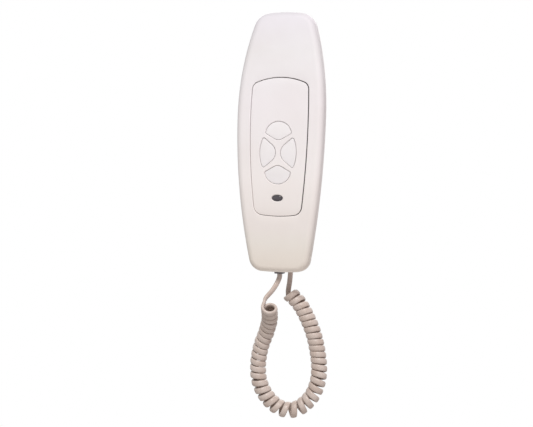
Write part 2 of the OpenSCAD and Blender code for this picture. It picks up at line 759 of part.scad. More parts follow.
module handset_jack() {
  color(black) translate([jack_x, jack_y, bottom_z]) jack(jack_z - bottom_z);
}
module handset_plug() {
  color(smoke) translate([jack_x, jack_y, bottom_z]) plug();
}
module shell_screws() {
  color(steel) for (s = case_screws) screw(s[0], s[1], case_seat_y(s[1]), case_shank_r,
    case_seat_t + part_gap + case_shank_l - fit_gap, case_head_r, case_head_t);
}

// The curly cord: the middle line of the curls, from the handset's end to the base's end
curl_axis = [[-5, -43, -131.5], [-5.5, -39.5, -135], [-6, -36, -138.5], [-7, -32, -143], [-9, -28, -148],
  [-11.5, -24.5, -154.5], [-15, -22, -162.5], [-17.5, -20.5, -172], [-18.5, -19.5, -182],
  [-17.5, -19.5, -192.5], [-13.5, -19.5, -202], [-7, -19, -210], [1, -18.5, -215], [9.5, -18, -216],
  [17.5, -17, -212.8], [25.5, -16, -204.5], [30, -15.5, -193.5], [31, -14.5, -181.5], [29, -13.5, -167],
  [25, -13, -152.5], [19, -12.5, -139.5], [12.5, -12, -129.5], [5.5, -12, -123]];
handset_lead_route = [[-1.9, -24.7, -110.5], [-3.4, -25.9, -114.2], [-6, -29.8, -119.3]];
base_lead_route = [[base_jack_x, base_jack_y, base_bottom - 8], [4.5, -7, -82], [4.3, -7, -93],
  [4.1, -7, -104], [3.4, -6.5, -113], [2.2, -5.2, -120.5]];
lead_straight = 2.4;
axis_steps = 8;
rings_per_curl = 8;
curl_sides = 6;
lead_sides = 8;
lead_steps = 2;
axis_fine = spline_run(curl_axis, axis_steps);
axis_marks = lengths(axis_fine);
axis_l = axis_marks[len(axis_marks) - 1];
axis_table = [for (i = [0 : len(axis_marks) - 1]) [axis_marks[i], i / axis_steps]];
axis_nudge = 0.5;
function axis_at(s) = spline(curl_axis, lookup(s, axis_table));
function axis_heading(s) = unit(axis_at(s + axis_nudge) - axis_at(s - axis_nudge));
function front_of(t) = unit([0, -1, 0] + t[1] * t);
turns = curl_turns + 0.5;
curl_rings_n = turns * rings_per_curl;
// Every curl has the same room on the inside of the loop's bend
bend_step = 4;
function axis_bend(s) =
  let (room = bend_step + axis_nudge, m = min(max(s, room), axis_l - room))
  norm(axis_heading(m + bend_step) - axis_heading(m - bend_step)) / (2 * bend_step);
inner_marks = [for (i = 0, s = 0; i < len(axis_marks);
  s = s + (i + 1 < len(axis_marks) ? (axis_marks[i + 1] - axis_marks[i])
    * (1 - (curl_r + cord_t / 2) * axis_bend(axis_marks[i])) : 0), i = i + 1) s];
inner_l = inner_marks[len(inner_marks) - 1];
turn_table = [for (i = [0 : len(axis_marks) - 1]) [axis_marks[i], inner_marks[i] / inner_l]];
function curl_phase(u) = 90 - 360 * turns * lookup(u * axis_l, turn_table);
function curl_radial(u) =
  let (t = axis_heading(u * axis_l), n = front_of(t), a = curl_phase(u))
  cos(a) * n + sin(a) * cross(t, n);
function curl_point(u) = axis_at(u * axis_l) + curl_r * curl_radial(u);
function curl_forward(u) = cross(curl_radial(u), axis_heading(u * axis_l));
function cord_ring(p, across, radial, n) =
  [for (k = [0 : n - 1]) let (a = 360 * k / n + 30)
    p + cord_t / 2 * cos(a) * radial + cord_w / 2 * sin(a) * across];
function curl_ring(u, shift) = cord_ring(curl_point(u) + shift * curl_forward(u),
  axis_heading(u * axis_l), curl_radial(u), curl_sides);
curl_rings = concat([curl_ring(0, -cord_w)],
  [for (i = [0 : curl_rings_n]) curl_ring(i / curl_rings_n, 0)], [curl_ring(1, cord_w)]);
function ring_gap(a, b) = min([for (p = a) each [for (q = b) norm(p - q)]]);
module cord_curls() {
  cord_line = lengths([for (i = [0 : curl_rings_n]) curl_point(i / curl_rings_n)]);
  echo(curl_axis_length = axis_l, inner_length = inner_l, cord_in_curls = cord_line[len(cord_line) - 1]);
  echo(least_gap_between_curls = min([for (i = [0 : len(curl_rings) - rings_per_curl - 3])
    each [for (k = [-2 : 2]) ring_gap(curl_rings[i], curl_rings[i + rings_per_curl + k])]]));
  color(cord_grey) tube(curl_rings);
}
function lead_tube(pts, across0, across1) =
  let (path = spline_run(pts, lead_steps), last = len(path) - 1)
  [for (i = [0 : last])
    let (t = unit(i == 0 ? pts[1] - pts[0] : i == last ? pts[len(pts) - 1] - pts[len(pts) - 2]
      : path[i + 1] - path[i - 1]))
    let (w = mix(across0, across1, i / last), across = unit(w - (w * t) * t))
    cord_ring(path[i], across, cross(across, t), lead_sides)];
plug_end = [jack_x, jack_y, bottom_z - plug_out];
base_plug_end = [base_jack_x, base_jack_y, base_bottom - plug_out];
module cord_lead_handset() {
  end = curl_point(0) - cord_w * curl_forward(0);
  route = concat([plug_end, plug_end - [0, 0, lead_straight]], handset_lead_route,
    [end - cord_w * curl_forward(0), end]);
  echo(handset_lead = axis_sum(route));
  color(cord_grey) tube(lead_tube(route, [1, 0, 0], axis_heading(0)));
}
module cord_lead_base() {
  end = curl_point(1) + cord_w * curl_forward(1);
  route = concat([base_plug_end, base_plug_end - [0, 0, lead_straight]], base_lead_route,
    [end + cord_w * curl_forward(1), end]);
  echo(base_lead = axis_sum(route));
  color(cord_grey) tube(lead_tube(route, [1, 0, 0], -axis_heading(axis_l)));
}
function axis_sum(pts) = let (m = lengths(spline_run(pts, axis_steps))) m[len(m) - 1];
module base_plug() {
  color(smoke) translate([base_jack_x, base_jack_y, base_bottom]) plug();
}

// The hook lug and the space that it needs in the handset
lug_root = 8;
module hook_path(grow) {
  translate([0, rear_y(lug_z), lug_z]) rotate([90 - lug_slope, 0, 0]) translate([0, 0, -lug_root])
    linear_extrude(lug_root + lug_in + grow)
      square([lug_w + 2 * grow, lug_t + 2 * grow], center = true);
}

// The wall base
cover_screw_r = 1;
cover_head_r = 2.2;
cover_head_t = 1.6;
cover_screw_l = 7;
cover_inset_x = 8;
cover_inset_z = 8.5;
cover_boss_r = 4;
cover_recess = 2;
cover_seat_t = 2;
cover_screw_places = [for (x = [-1, 1], z = [base_top - cover_inset_z, base_bottom + cover_inset_z])
  [x * (base_w / 2 - cover_inset_x), z]];
function cover_seat_y(z) = dome_y(z) + cover_recess;
pad_r = 4;
pad_sunk = 0.8;
pad_x = 15;
pad_low_z = -44;
pad_high_z = 38;
pad_clear = 0.6;
pad_places = [for (x = [-1, 1], z = [pad_low_z, pad_high_z]) [x * pad_x, z]];
hook_x = -11;
hook_z = -8;
plunger_gap = 0.3;
plunger_tip_y = rear_y(hook_z) + plunger_gap;
// Room between the wall plate and the cover at the board's upper edge, and its share for the posts
base_board_w = 40;
base_board_top = 20;
base_room = -plate_t - cover_inside_y(base_board_top);
post_share = 0.25;
base_post_h = post_share * base_room;
base_board_back_y = -plate_t - base_post_h;
base_board_front_y = base_board_back_y - board_t;
board_room = base_room - base_post_h - board_t;
base_board_bottom = -46;
base_post_r = 3;
base_post_x = 16.5;
base_post_top = 15;
base_post_low = 4;
base_posts = [for (x = [-1, 1], z = [base_board_top - base_post_top, base_board_bottom + base_post_low])
  [x * base_post_x, z]];
wall_screw_room = 5;
module base_outline(inset) {
  translate([0, base_z]) rounded_rect(base_w - 2 * inset, base_l - 2 * inset, base_corner_r - inset);
}
module base_cover() {
  color(ivory_rear) difference() {
    union() {
      difference() {
        intersection() {
          slab(0, ahead_y) base_outline(0);
          bow_core(rear_bow_r - cradle_gap, rear_axis_y);
        }
        intersection() {
          slab(1, ahead_y) base_outline(base_wall);
          bow_core(rear_bow_r - cradle_gap - base_wall, rear_axis_y);
        }
      }
      for (s = cover_screw_places)
        pin(s[0], s[1], cover_boss_r, cover_seat_y(s[1]) + cover_seat_t, dome_y(s[1]) + base_wall / 2);
      difference() {
        hook_path(0);
        bow_core(rear_bow_r - cradle_gap - base_wall / 2, rear_axis_y);
      }
    }
    for (s = cover_screw_places) {
      pin(s[0], s[1], cover_screw_r + fit_gap, cover_seat_y(s[1]) + cover_seat_t + 1, ahead_y);
      pin(s[0], s[1], cover_head_r + fit_gap, cover_seat_y(s[1]), ahead_y);
    }
    for (p = pad_places) pin(p[0], p[1], pad_r + run_gap, dome_y(p[1]) + pad_sunk, ahead_y);
    pin(hook_x, hook_z, hook_r + hook_gap, 0, ahead_y);
    translate([base_jack_x, base_jack_y, base_bottom]) plug_space(plug_gap + fit_gap);
  }
}
module rest_pads() {
  color(black) for (p = pad_places)
    pin(p[0], p[1], pad_r, dome_y(p[1]) + pad_sunk, dome_y(p[1]) - cradle_gap + pad_clear);
}
module base_plate() {
  color(ivory_rear) difference() {
    union() {
      slab(0, -plate_t) base_outline(base_wall + fit_gap);
      for (s = cover_screw_places)
        pin(s[0], s[1], cover_boss_r, 0, cover_seat_y(s[1]) + cover_seat_t + fit_gap);
      for (p = base_posts) pin(p[0], p[1], base_post_r, 0, base_board_back_y);
    }
    for (z = [-1, 1]) pin(0, z * wall_screw_pitch / 2, wall_hole_r, 1, -plate_t - 1);
    pin(0, cable_z, cable_r, 1, -plate_t - 1);
    for (s = cover_screw_places)
      pin(s[0], s[1], cover_screw_r + run_gap, cover_seat_y(s[1]) + cover_screw_l, ahead_y);
    for (p = base_posts)
      pin(p[0], p[1], board_screw_r + run_gap, base_board_back_y + board_screw_l, ahead_y);
    if (jack_sunk > 0) slab(1, -plate_t - 1) translate([base_jack_x, base_jack_z + jack_l / 2])
      square([jack_w + 2 * fit_gap, jack_l + 2 * fit_gap], center = true);
  }
}
module base_board() {
  color(board_green) difference() {
    slab(base_board_back_y, base_board_front_y) translate([0, (base_board_top + base_board_bottom) / 2])
      square([base_board_w, base_board_top - base_board_bottom], center = true);
    pin(0, -wall_screw_pitch / 2, wall_screw_room, 0, ahead_y);
    for (p = base_posts) pin(p[0], p[1], board_screw_r + fit_gap, 0, ahead_y);
  }
}
module base_board_screws() {
  color(steel) for (p = base_posts) mirror([0, 1, 0])
    screw(p[0], p[1], -base_board_front_y, board_screw_r, board_t + board_screw_l - fit_gap,
      board_head_r, board_head_t);
}
terminals = 4;
terminal_pitch = 5.5;
terminal_h = 9;
terminal_clear = 1.4;
terminal_d = board_room - terminal_clear;
terminal_inset = 6;
terminal_z = base_board_top - terminal_inset;
terminal_screw_r = 1.6;
terminal_screw_t = 0.35 * terminal_d;
terminal_well = 0.6 * terminal_d;
wire_hole_r = 0.14 * terminal_d;
wire_hole_y = 0.2 * terminal_d;
wire_hole_l = 7;
function terminal_x(i) = (i - (terminals - 1) / 2) * terminal_pitch;
module terminal_block() {
  front_y = base_board_front_y - terminal_d;
  color("#3f6f9f") difference() {
    slab(base_board_front_y, front_y) translate([0, terminal_z])
      square([terminals * terminal_pitch, terminal_h], center = true);
    for (i = [0 : terminals - 1]) {
      pin(terminal_x(i), terminal_z, terminal_screw_r + fit_gap, front_y + terminal_well, ahead_y);
      translate([terminal_x(i), base_board_front_y - wire_hole_y, terminal_z + terminal_h / 2 - wire_hole_l])
        cylinder(r = wire_hole_r, h = 2 * wire_hole_l);
    }
  }
}
module terminal_screws() {
  seat_y = base_board_front_y - terminal_d + terminal_well;
  color(steel) for (i = [0 : terminals - 1]) mirror([0, 1, 0])
    screw(terminal_x(i), terminal_z, -seat_y, terminal_screw_r / 2, 0, terminal_screw_r, terminal_screw_t);
}
module call_sounder() {
  sounder_r = 10.5;
  sounder_clear = 2.9;
  sounder_t = board_room - sounder_clear;
  sounder_x = 8.5;
  sounder_z = -13.5;
  sound_hole_r = 1.5;
  color(black) difference() {
    pin(sounder_x, sounder_z, sounder_r, base_board_front_y, base_board_front_y - sounder_t);
    pin(sounder_x, sounder_z, sound_hole_r, base_board_front_y - sounder_t / 2, ahead_y);
  }
}
// The hook plunger, its spring and its switch
flange_t = 1.3;
flange_room = 0.8;
flange_back_y = dome_y(hook_z) + base_wall + hook_travel + flange_room + flange_t;
hook_room = base_board_front_y - flange_back_y;
switch_dz = -10;
switch_w = 6;
switch_t = 0.6 * hook_room;
switch_key_r = 1.6;
module hook_plunger() {
  spigot_r = 1.7;
  spigot_l = 0.35 * hook_room;
  flange_corner_r = 2;
  color(ivory) {
    pin(hook_x, hook_z, hook_r, flange_back_y, plunger_tip_y);
    slab(flange_back_y, flange_back_y - flange_t) translate([hook_x, hook_z + switch_dz / 2])
      rounded_rect(3 * hook_r, 3 * hook_r - switch_dz, flange_corner_r);
    pin(hook_x, hook_z, spigot_r, flange_back_y + spigot_l, flange_back_y - flange_t / 2);
  }
}
module hook_switch() {
  color(black) {
    slab(base_board_front_y, base_board_front_y - switch_t) translate([hook_x, hook_z + switch_dz])
      square(switch_w, center = true);
    pin(hook_x, hook_z + switch_dz, switch_key_r, base_board_front_y, flange_back_y + fit_gap);
  }
}
spring_r = 2.6;
spring_wire_r = 0.25;
spring_pitch = 1.15;
spring_turns = max(2, floor(hook_room / spring_pitch));
spring_rings = 12;
spring_sides = 6;
module hook_spring() {
  y0 = base_board_front_y - spring_wire_r - seat_gap;
  y1 = flange_back_y + spring_wire_r + seat_gap;
  n = spring_turns * spring_rings;
  color(steel) tube([for (i = [0 : n]) let (a = 360 * i / spring_rings, u = i / n)
    [for (k = [0 : spring_sides - 1])
      let (b = 360 * k / spring_sides, r = spring_r + spring_wire_r * cos(b))
      [hook_x + r * cos(a), mix(y0, y1, u) + spring_wire_r * sin(b), hook_z + r * sin(a)]]]);
}
module base_jack() {
  color(black) translate([base_jack_x, base_jack_y, base_bottom]) jack(base_jack_z - base_bottom);
}
module cover_screws() {
  color(steel) for (s = cover_screw_places) mirror([0, 1, 0])
    screw(s[0], s[1], -cover_seat_y(s[1]), cover_screw_r, cover_screw_l - fit_gap,
      cover_head_r, cover_head_t);
}

front_shell();
rear_shell();
button_panel();
upper_button();
left_button();
right_button();
lower_button();
button_mat();
button_board();
board_screws();
indicator_lens();
indicator_lamp();
receiver_cap();
receiver_gasket();
receiver_capsule();
receiver_wires();
microphone_boot();
microphone_capsule();
microphone_wires();
handset_jack();
jack_wires();
handset_plug();
shell_screws();
cord_lead_handset();
cord_curls();
cord_lead_base();
base_plug();
base_cover();
rest_pads();
base_plate();
base_board();
base_board_screws();
terminal_block();
terminal_screws();
call_sounder();
hook_switch();
hook_plunger();
hook_spring();
base_jack();
cover_screws();
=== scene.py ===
"""Looks of a wall intercom handset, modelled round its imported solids. Metres, +Z up, front to -Y."""
import logging
import math
from dataclasses import dataclass
from enum import Enum
from typing import Any, Callable, Iterable, Sequence

import bmesh
import bpy
import numpy as np
from mathutils import Matrix, Vector


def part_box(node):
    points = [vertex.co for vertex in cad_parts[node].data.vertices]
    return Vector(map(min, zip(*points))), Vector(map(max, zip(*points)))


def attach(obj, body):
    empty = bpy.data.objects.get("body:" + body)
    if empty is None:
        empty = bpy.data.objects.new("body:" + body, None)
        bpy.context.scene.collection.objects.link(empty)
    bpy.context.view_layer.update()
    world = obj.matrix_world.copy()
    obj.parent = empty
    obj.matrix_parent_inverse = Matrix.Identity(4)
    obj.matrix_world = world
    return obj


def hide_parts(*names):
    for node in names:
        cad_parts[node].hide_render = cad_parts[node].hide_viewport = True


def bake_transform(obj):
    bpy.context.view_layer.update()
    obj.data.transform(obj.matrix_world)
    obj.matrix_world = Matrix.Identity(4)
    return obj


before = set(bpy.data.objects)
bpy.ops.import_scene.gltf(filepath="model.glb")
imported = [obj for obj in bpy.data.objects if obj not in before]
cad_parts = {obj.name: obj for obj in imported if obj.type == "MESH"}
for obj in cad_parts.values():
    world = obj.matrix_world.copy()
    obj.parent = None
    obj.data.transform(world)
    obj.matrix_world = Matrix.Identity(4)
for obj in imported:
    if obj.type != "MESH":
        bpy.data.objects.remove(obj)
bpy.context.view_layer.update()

log = logging.getLogger("handset")

MM = 0.001
PICTURE_WIDTH = 533
# Points this close, in metres, become one: as drawn, and after a cut
MERGE = 1e-6
WELD = 2.5e-5

Rings = Sequence[np.ndarray]
Object = bpy.types.Object
Material = bpy.types.Material


class Body(Enum):
    """The bodies that pieces ride on."""

    BASE = "base"
    HANDSET = "handset"
    UPPER = "upper_button"
    LEFT = "left_button"
    RIGHT = "right_button"
    LOWER = "lower_button"
    PLUNGER = "hook_plunger"


class Slot(Enum):
    """The record's material slots."""

    SHELL = "shell"
    REAR = "rear_shell"
    BUTTONS = "buttons"
    LENS = "smoked_lens"
    RUBBER = "foam"
    PLUG = "plug"
    CORD = "cord"


# Selecting, shaping and finishing meshes


def select_only(obj: Object | None = None) -> None:
    """Deselects everything, then selects one object and makes it active.

    Args:
        obj: the object to select, or None for an empty selection.
    """
    for other in bpy.context.selected_objects:
        other.select_set(False)
    if obj is not None:
        obj.select_set(True)
    bpy.context.view_layer.objects.active = obj


def shape(obj: Object, work: Callable[[bmesh.types.BMesh], None]) -> None:
    """Runs a piece of edit-mode work on one object.

    Args:
        obj: the mesh object.
        work: a function of its edit mesh, which may call mesh operators.
    """
    select_only(obj)
    bpy.ops.object.mode_set(mode="EDIT")
    work(bmesh.from_edit_mesh(obj.data))
    bpy.ops.object.mode_set(mode="OBJECT")


def close_up(mesh: bmesh.types.BMesh) -> None:
    """Merges points that coincide, fills open ends and turns the faces outwards.

    Args:
        mesh: the edit mesh.
    """
    bpy.ops.mesh.select_all(action="SELECT")
    bpy.ops.mesh.remove_doubles(threshold=MERGE)
    bpy.ops.mesh.fill_holes(sides=0)
    bpy.ops.mesh.select_all(action="SELECT")
    bpy.ops.mesh.normals_make_consistent(inside=False)


def skin(name: str, rings: Rings) -> Object:
    """Draws a closed skin through rings: a circle that is extruded onto ring after ring.

    A last ring that repeats the first one closes the skin on itself, a ring with all its points in
    one place is a pole, and any other end is closed with a flat face.

    Args:
        name: the new object's name.
        rings: arrays of points with the same count, in millimetres.

    Returns:
        The new object.
    """
    select_only()
    bpy.ops.mesh.primitive_circle_add(vertices=len(rings[0]))
    obj = bpy.context.object
    obj.name = name

    def draw(mesh: bmesh.types.BMesh) -> None:
        """Sets the circle on the first ring and extrudes it onto the others.

        Args:
            mesh: the circle's edit mesh.
        """
        bpy.ops.mesh.select_all(action="SELECT")
        loop = list(mesh.verts)
        for number, ring in enumerate(rings):
            if number:
                bpy.ops.mesh.extrude_edges_indiv()
                loop = [next_along(vert) for vert in loop]
            for vert, place in zip(loop, ring):
                vert.co = Vector(place) * MM
        close_up(mesh)

    shape(obj, draw)
    return obj


def next_along(vert: bmesh.types.BMVert) -> bmesh.types.BMVert:
    """Finds the new point that the last extrusion drew out of a point."""
    ends = (edge.other_vert(vert) for edge in vert.link_edges)
    return next(end for end in ends if end.select)


def carve(obj: Object, tools: Iterable[Object], operation: str = "DIFFERENCE") -> None:
    """Cuts tools out of an object, or joins them to it, and deletes them.

    Args:
        obj: the object to change.
        tools: closed meshes.
        operation: the boolean operation.
    """
    for tool in tools:
        select_only(obj)
        cut = obj.modifiers.new("cut", "BOOLEAN")
        cut.operation = operation
        cut.object = tool
        cut.solver = "EXACT"
        bpy.ops.object.modifier_apply(modifier=cut.name)
        bpy.data.objects.remove(tool, do_unlink=True)
    shape(obj, mend)


def mend(mesh: bmesh.types.BMesh) -> None:
    """Cleans up after cuts: merges close points, drops idle ones and splits many-sided faces.

    Args:
        mesh: the edit mesh.
    """
    bpy.ops.mesh.select_all(action="SELECT")
    bpy.ops.mesh.remove_doubles(threshold=WELD)
    bpy.ops.mesh.select_all(action="DESELECT")
    for vert in mesh.verts:
        if len(vert.link_edges) == 2:
            vert.select_set(True)
    bpy.ops.mesh.dissolve_verts()
    bpy.ops.mesh.select_all(action="DESELECT")
    bpy.ops.mesh.select_face_by_sides(number=4, type="GREATER")
    bpy.ops.mesh.quads_convert_to_tris(quad_method="BEAUTY", ngon_method="BEAUTY")
    bpy.ops.mesh.select_all(action="SELECT")
    bpy.ops.mesh.dissolve_degenerate(threshold=WELD)


def join(name: str, parts: Sequence[Object]) -> Object:
    """Joins objects into the first one and names it.

    Args:
        name: the joined object's name.
        parts: the objects, two or more meshes.

    Returns:
        The joined object.
    """
    select_only(parts[0])
    for part in parts:
        part.select_set(True)
    bpy.ops.object.join()
    parts[0].name = name
    return parts[0]


def smooth(obj: Object, angle: float = 32.0) -> None:
    """Shades an object smooth, apart from edges sharper than an angle in degrees."""
    select_only(obj)
    bpy.ops.object.shade_smooth_by_angle(angle=math.radians(angle))


def settle(obj: Object) -> None:
    """Puts an object's place, turn and scale into its mesh."""
    select_only(obj)
    bpy.ops.object.transform_apply(location=True, rotation=True, scale=True)


def hand_over(obj: Object, body: Body, slot: Slot, finish: Material, *nodes: str) -> Object:
    """Smooths and dresses a piece, lets it ride on its body and hides the solids it stands for.

    Args:
        obj: the piece.
        body: the body that it moves with.
        slot: the record's material slot; not used.
        finish: its material.
        nodes: the CAD nodes that it replaces.

    Returns:
        The piece.
    """
    smooth(obj)
    obj.data.materials.clear()
    obj.data.materials.append(finish)
    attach(obj, body.value)
    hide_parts(*nodes)
    log.info("%s: %d faces, rides on %s", obj.name, len(obj.data.polygons), body.value)
    return obj


# Outlines and curves in millimetres


def arc(centre: Sequence[float], radius: float, start: float, end: float, steps: int) -> np.ndarray:
    """Points on an arc, without its last one.

    Args:
        centre: the arc's centre.
        radius: its radius.
        start: its first angle in radians.
        end: its last angle in radians.
        steps: how many points.

    Returns:
        An array of points.
    """
    angles = start + (end - start) * np.arange(steps) / steps
    return np.asarray(centre) + radius * np.column_stack([np.cos(angles), np.sin(angles)])


def crossing(c1: np.ndarray, r1: float, c2: np.ndarray, r2: float) -> np.ndarray:
    """The point where two circles cross, the one further right of the two.

    Args:
        c1: the first circle's centre.
        r1: its radius.
        c2: the second circle's centre.
        r2: its radius.

    Returns:
        The point.
    """
    way = c2 - c1
    gap = float(np.hypot(*way))
    along = (r1 * r1 - r2 * r2 + gap * gap) / (2 * gap)
    aside = math.sqrt(r1 * r1 - along * along)
    foot = c1 + way * along / gap
    left = np.array([-way[1], way[0]]) * aside / gap
    return foot + left if left[0] > 0 else foot - left


def heading(way: np.ndarray) -> float:
    """The angle of a direction in the plane."""
    return math.atan2(way[1], way[0])


def unit(vectors: np.ndarray) -> np.ndarray:
    """Vectors of length one."""
    return vectors / np.linalg.norm(vectors, axis=-1, keepdims=True)


def spline(points: Sequence[Sequence[float]], steps: int) -> np.ndarray:
    """A smooth run through points.

    Args:
        points: the places that it passes.
        steps: how many points each span gets.

    Returns:
        The points of the run.
    """
    p = np.asarray(points, float)
    padded = np.vstack([p[:1], p, p[-1:]])
    runs = []
    for a, b, c, d in zip(padded, padded[1:], padded[2:], padded[3:]):
        u = (np.arange(steps) / steps)[:, None]
        runs.append((2 * b + (c - a) * u + (2 * a - 5 * b + 4 * c - d) * u**2
                     + (3 * b - a - 3 * c + d) * u**3) / 2)
    return np.vstack([*runs, p[-1:]])


def distances(points: np.ndarray) -> np.ndarray:
    """How far along a run each of its points lies."""
    return np.concatenate([[0.0], np.cumsum(np.linalg.norm(np.diff(points, axis=0), axis=1))])


@dataclass(frozen=True)
class Outline:
    """An outline of tangent arcs, alike on both sides."""

    half_width: float
    widest_z: float
    low_r: float
    up_r: float
    top_z: float
    bottom_z: float
    top_r: float
    bottom_r: float
    top_corner: float
    bottom_corner: float
    end_steps: int = 10
    corner_steps: int = 10
    side_steps: int = 20

    def points(self, inset: float) -> np.ndarray:
        """The outline's points (x, z), from the middle of its bottom edge up its right side.

        Args:
            inset: how far inside the outline they lie.

        Returns:
            An array of points.
        """
        low = np.array([self.half_width - self.low_r, self.widest_z])
        up = np.array([self.half_width - self.up_r, self.widest_z])
        top = np.array([0.0, self.top_z - self.top_r])
        bottom = np.array([0.0, self.bottom_z + self.bottom_r])
        knee_t = crossing(up, self.up_r - self.top_corner, top, self.top_r - self.top_corner)
        knee_b = crossing(low, self.low_r - self.bottom_corner,
                          bottom, self.bottom_r - self.bottom_corner)
        turn_b1, turn_b2 = heading(knee_b - bottom), heading(knee_b - low)
        turn_t1, turn_t2 = heading(knee_t - up), heading(knee_t - top)
        half = np.vstack([
            arc(bottom, self.bottom_r - inset, -math.pi / 2, turn_b1, self.end_steps),
            arc(knee_b, self.bottom_corner - inset, turn_b1, turn_b2, self.corner_steps),
            arc(low, self.low_r - inset, turn_b2, 0.0, self.side_steps),
            arc(up, self.up_r - inset, 0.0, turn_t1, self.side_steps),
            arc(knee_t, self.top_corner - inset, turn_t1, turn_t2, self.corner_steps),
            arc(top, self.top_r - inset, turn_t2, math.pi / 2, self.end_steps),
            [[0.0, self.top_z - inset]],
        ])
        return np.vstack([half, half[-2:0:-1] * [-1, 1]])


@dataclass(frozen=True)
class Bow:
    """The bowed front and the hollow back of the handset, and the domed base behind it."""

    face_reach: float = 45.0
    thickness: float = 23.0
    front_r: float = 535.0
    rear_r: float = 450.0
    apex_z: float = -10.0
    cradle_gap: float = 1.5

    def face(self, points: np.ndarray, depth: float | np.ndarray = 0.0) -> np.ndarray:
        """Points (x, z) set on the front, or at a depth behind it."""
        return self._set(points, -self.face_reach, self.front_r, depth)

    def rear(self, points: np.ndarray, depth: float | np.ndarray = 0.0) -> np.ndarray:
        """Points (x, z) set on the back, or at a depth towards the wall."""
        return self._set(points, self.thickness - self.face_reach, self.rear_r, depth)

    def dome(self, points: np.ndarray, depth: float | np.ndarray = 0.0) -> np.ndarray:
        """Points (x, z) set on the base's domed front, or at a depth towards the wall."""
        apex = self.thickness + self.cradle_gap - self.face_reach
        return self._set(points, apex, self.rear_r - self.cradle_gap, depth)

    def rear_frame(self, z: float) -> Matrix:
        """A frame in metres on the back, with its Z outwards.

        Args:
            z: its height in millimetres.

        Returns:
            The frame.
        """
        tilt = math.asin((z - self.apex_z) / self.rear_r)
        place = self.rear(np.array([[0.0, z]]))[0] * MM
        return Matrix.Translation(place) @ Matrix.Rotation(-math.pi / 2 - tilt, 4, "X")

    def _set(self, points: np.ndarray, apex: float, radius: float,
             depth: float | np.ndarray) -> np.ndarray:
        """Points (x, z) set on a bow.

        Args:
            points: the points (x, z).
            apex: the Y of the bow's middle.
            radius: the bow's radius.
            depth: how far behind the bow they go.

        Returns:
            The points in space.
        """
        rise = points[:, 1] - self.apex_z
        y = apex + radius - np.sqrt(radius * radius - rise * rise) + depth
        return np.column_stack([points[:, 0], y, points[:, 1]])


BOW = Bow()
HANDSET_LINE = Outline(half_width=35.0, widest_z=21.0, low_r=630.0, up_r=260.0, top_z=104.0,
                       bottom_z=-104.0, top_r=100.0, bottom_r=240.0, top_corner=13.5,
                       bottom_corner=11.0)
PANEL_LINE = Outline(half_width=23.5, widest_z=17.5, low_r=615.0, up_r=540.0, top_z=50.7,
                     bottom_z=-59.5, top_r=50.0, bottom_r=100.0, top_corner=6.5, bottom_corner=7.5)
# Shares of its outline at which a closed face has rings, from near its edge to its middle
FACE_SHARES = (0.9, 0.75, 0.6, 0.45, 0.3, 0.15, 0.0)
# Where the hook's lug enters the handset's back, and how steeply it rises in degrees
HOOK_Z = 30.0
HOOK_SLOPE = 30.0
# Turns that point a piece's Z axis away from the wall and towards it
FORWARDS = Matrix.Rotation(math.pi / 2, 4, "X")
BACKWARDS = Matrix.Rotation(-math.pi / 2, 4, "X")


def at(x: float, y: float, z: float) -> Matrix:
    """A place in millimetres as a matrix in metres."""
    return Matrix.Translation((x * MM, y * MM, z * MM))


def spot(surface: Callable[..., np.ndarray], x: float, z: float, depth: float = 0.0) -> np.ndarray:
    """The point of a bowed surface at (x, z), or at a depth behind it."""
    return surface(np.array([[x, z]]), depth)[0]


def on_wall(points: np.ndarray) -> np.ndarray:
    """Points (x, z) set on the wall."""
    return np.column_stack([points[:, 0], np.zeros(len(points)), points[:, 1]])


def hook_frame() -> Matrix:
    """A frame in metres where the hook's lug enters the handset's back, with its Z along the lug."""
    return at(*spot(BOW.rear, 0.0, HOOK_Z)) @ Matrix.Rotation(math.radians(90 - HOOK_SLOPE), 4, "X")


def shrink(points: np.ndarray, middle: Sequence[float], share: float) -> np.ndarray:
    """Points drawn in towards a middle to a share of their distance."""
    return np.asarray(middle) + (points - np.asarray(middle)) * share


def between(steps: int) -> np.ndarray:
    """Even shares between 0 and 1, without the ends."""
    return np.arange(1, steps) / steps


def rounding(radius: float, steps: int = 4) -> list[tuple[float, float]]:
    """A rounded edge as insets from the side and depths below the face, from face to side."""
    angles = np.linspace(0.0, math.pi / 2, steps + 1)
    return [(radius * (1 - math.sin(a)), radius * (1 - math.cos(a))) for a in angles]


def rounded_top(radius: float, top: float, edge: float, steps: int) -> list[tuple[float, float]]:
    """The profile of a pin's rounded upper edge, from its side to its top."""
    return [(radius - inset, top - depth) for inset, depth in rounding(edge, steps)[::-1]]


def countersunk(radius: float, depth: float, flare: float, out: float) -> list[tuple[float, float]]:
    """The profile of a drill that breaks the edge of its hole at 45 degrees.

    Args:
        radius: the hole's radius.
        depth: how far the drill reaches in.
        flare: how deep the broken edge is.
        out: how far the drill stands out of the surface.

    Returns:
        Radius and height of each ring.
    """
    return [(radius, -depth), (radius, -flare), (radius + flare + out, out)]


def turned(name: str, profile: Sequence[Sequence[float]], place: Matrix, sides: int) -> Object:
    """A piece turned about its Z axis.

    Args:
        name: the new object's name.
        profile: radius and height of each ring, in millimetres.
        place: where its origin and its axis go, in metres.
        sides: points round it.

    Returns:
        The new object, with its place in its mesh.
    """
    ring = arc((0.0, 0.0), 1.0, 0.0, 2 * math.pi, sides)
    rings = [np.column_stack([ring * radius, np.full(sides, height)]) for radius, height in profile]
    obj = skin(name, rings)
    obj.matrix_world = place
    settle(obj)
    return obj


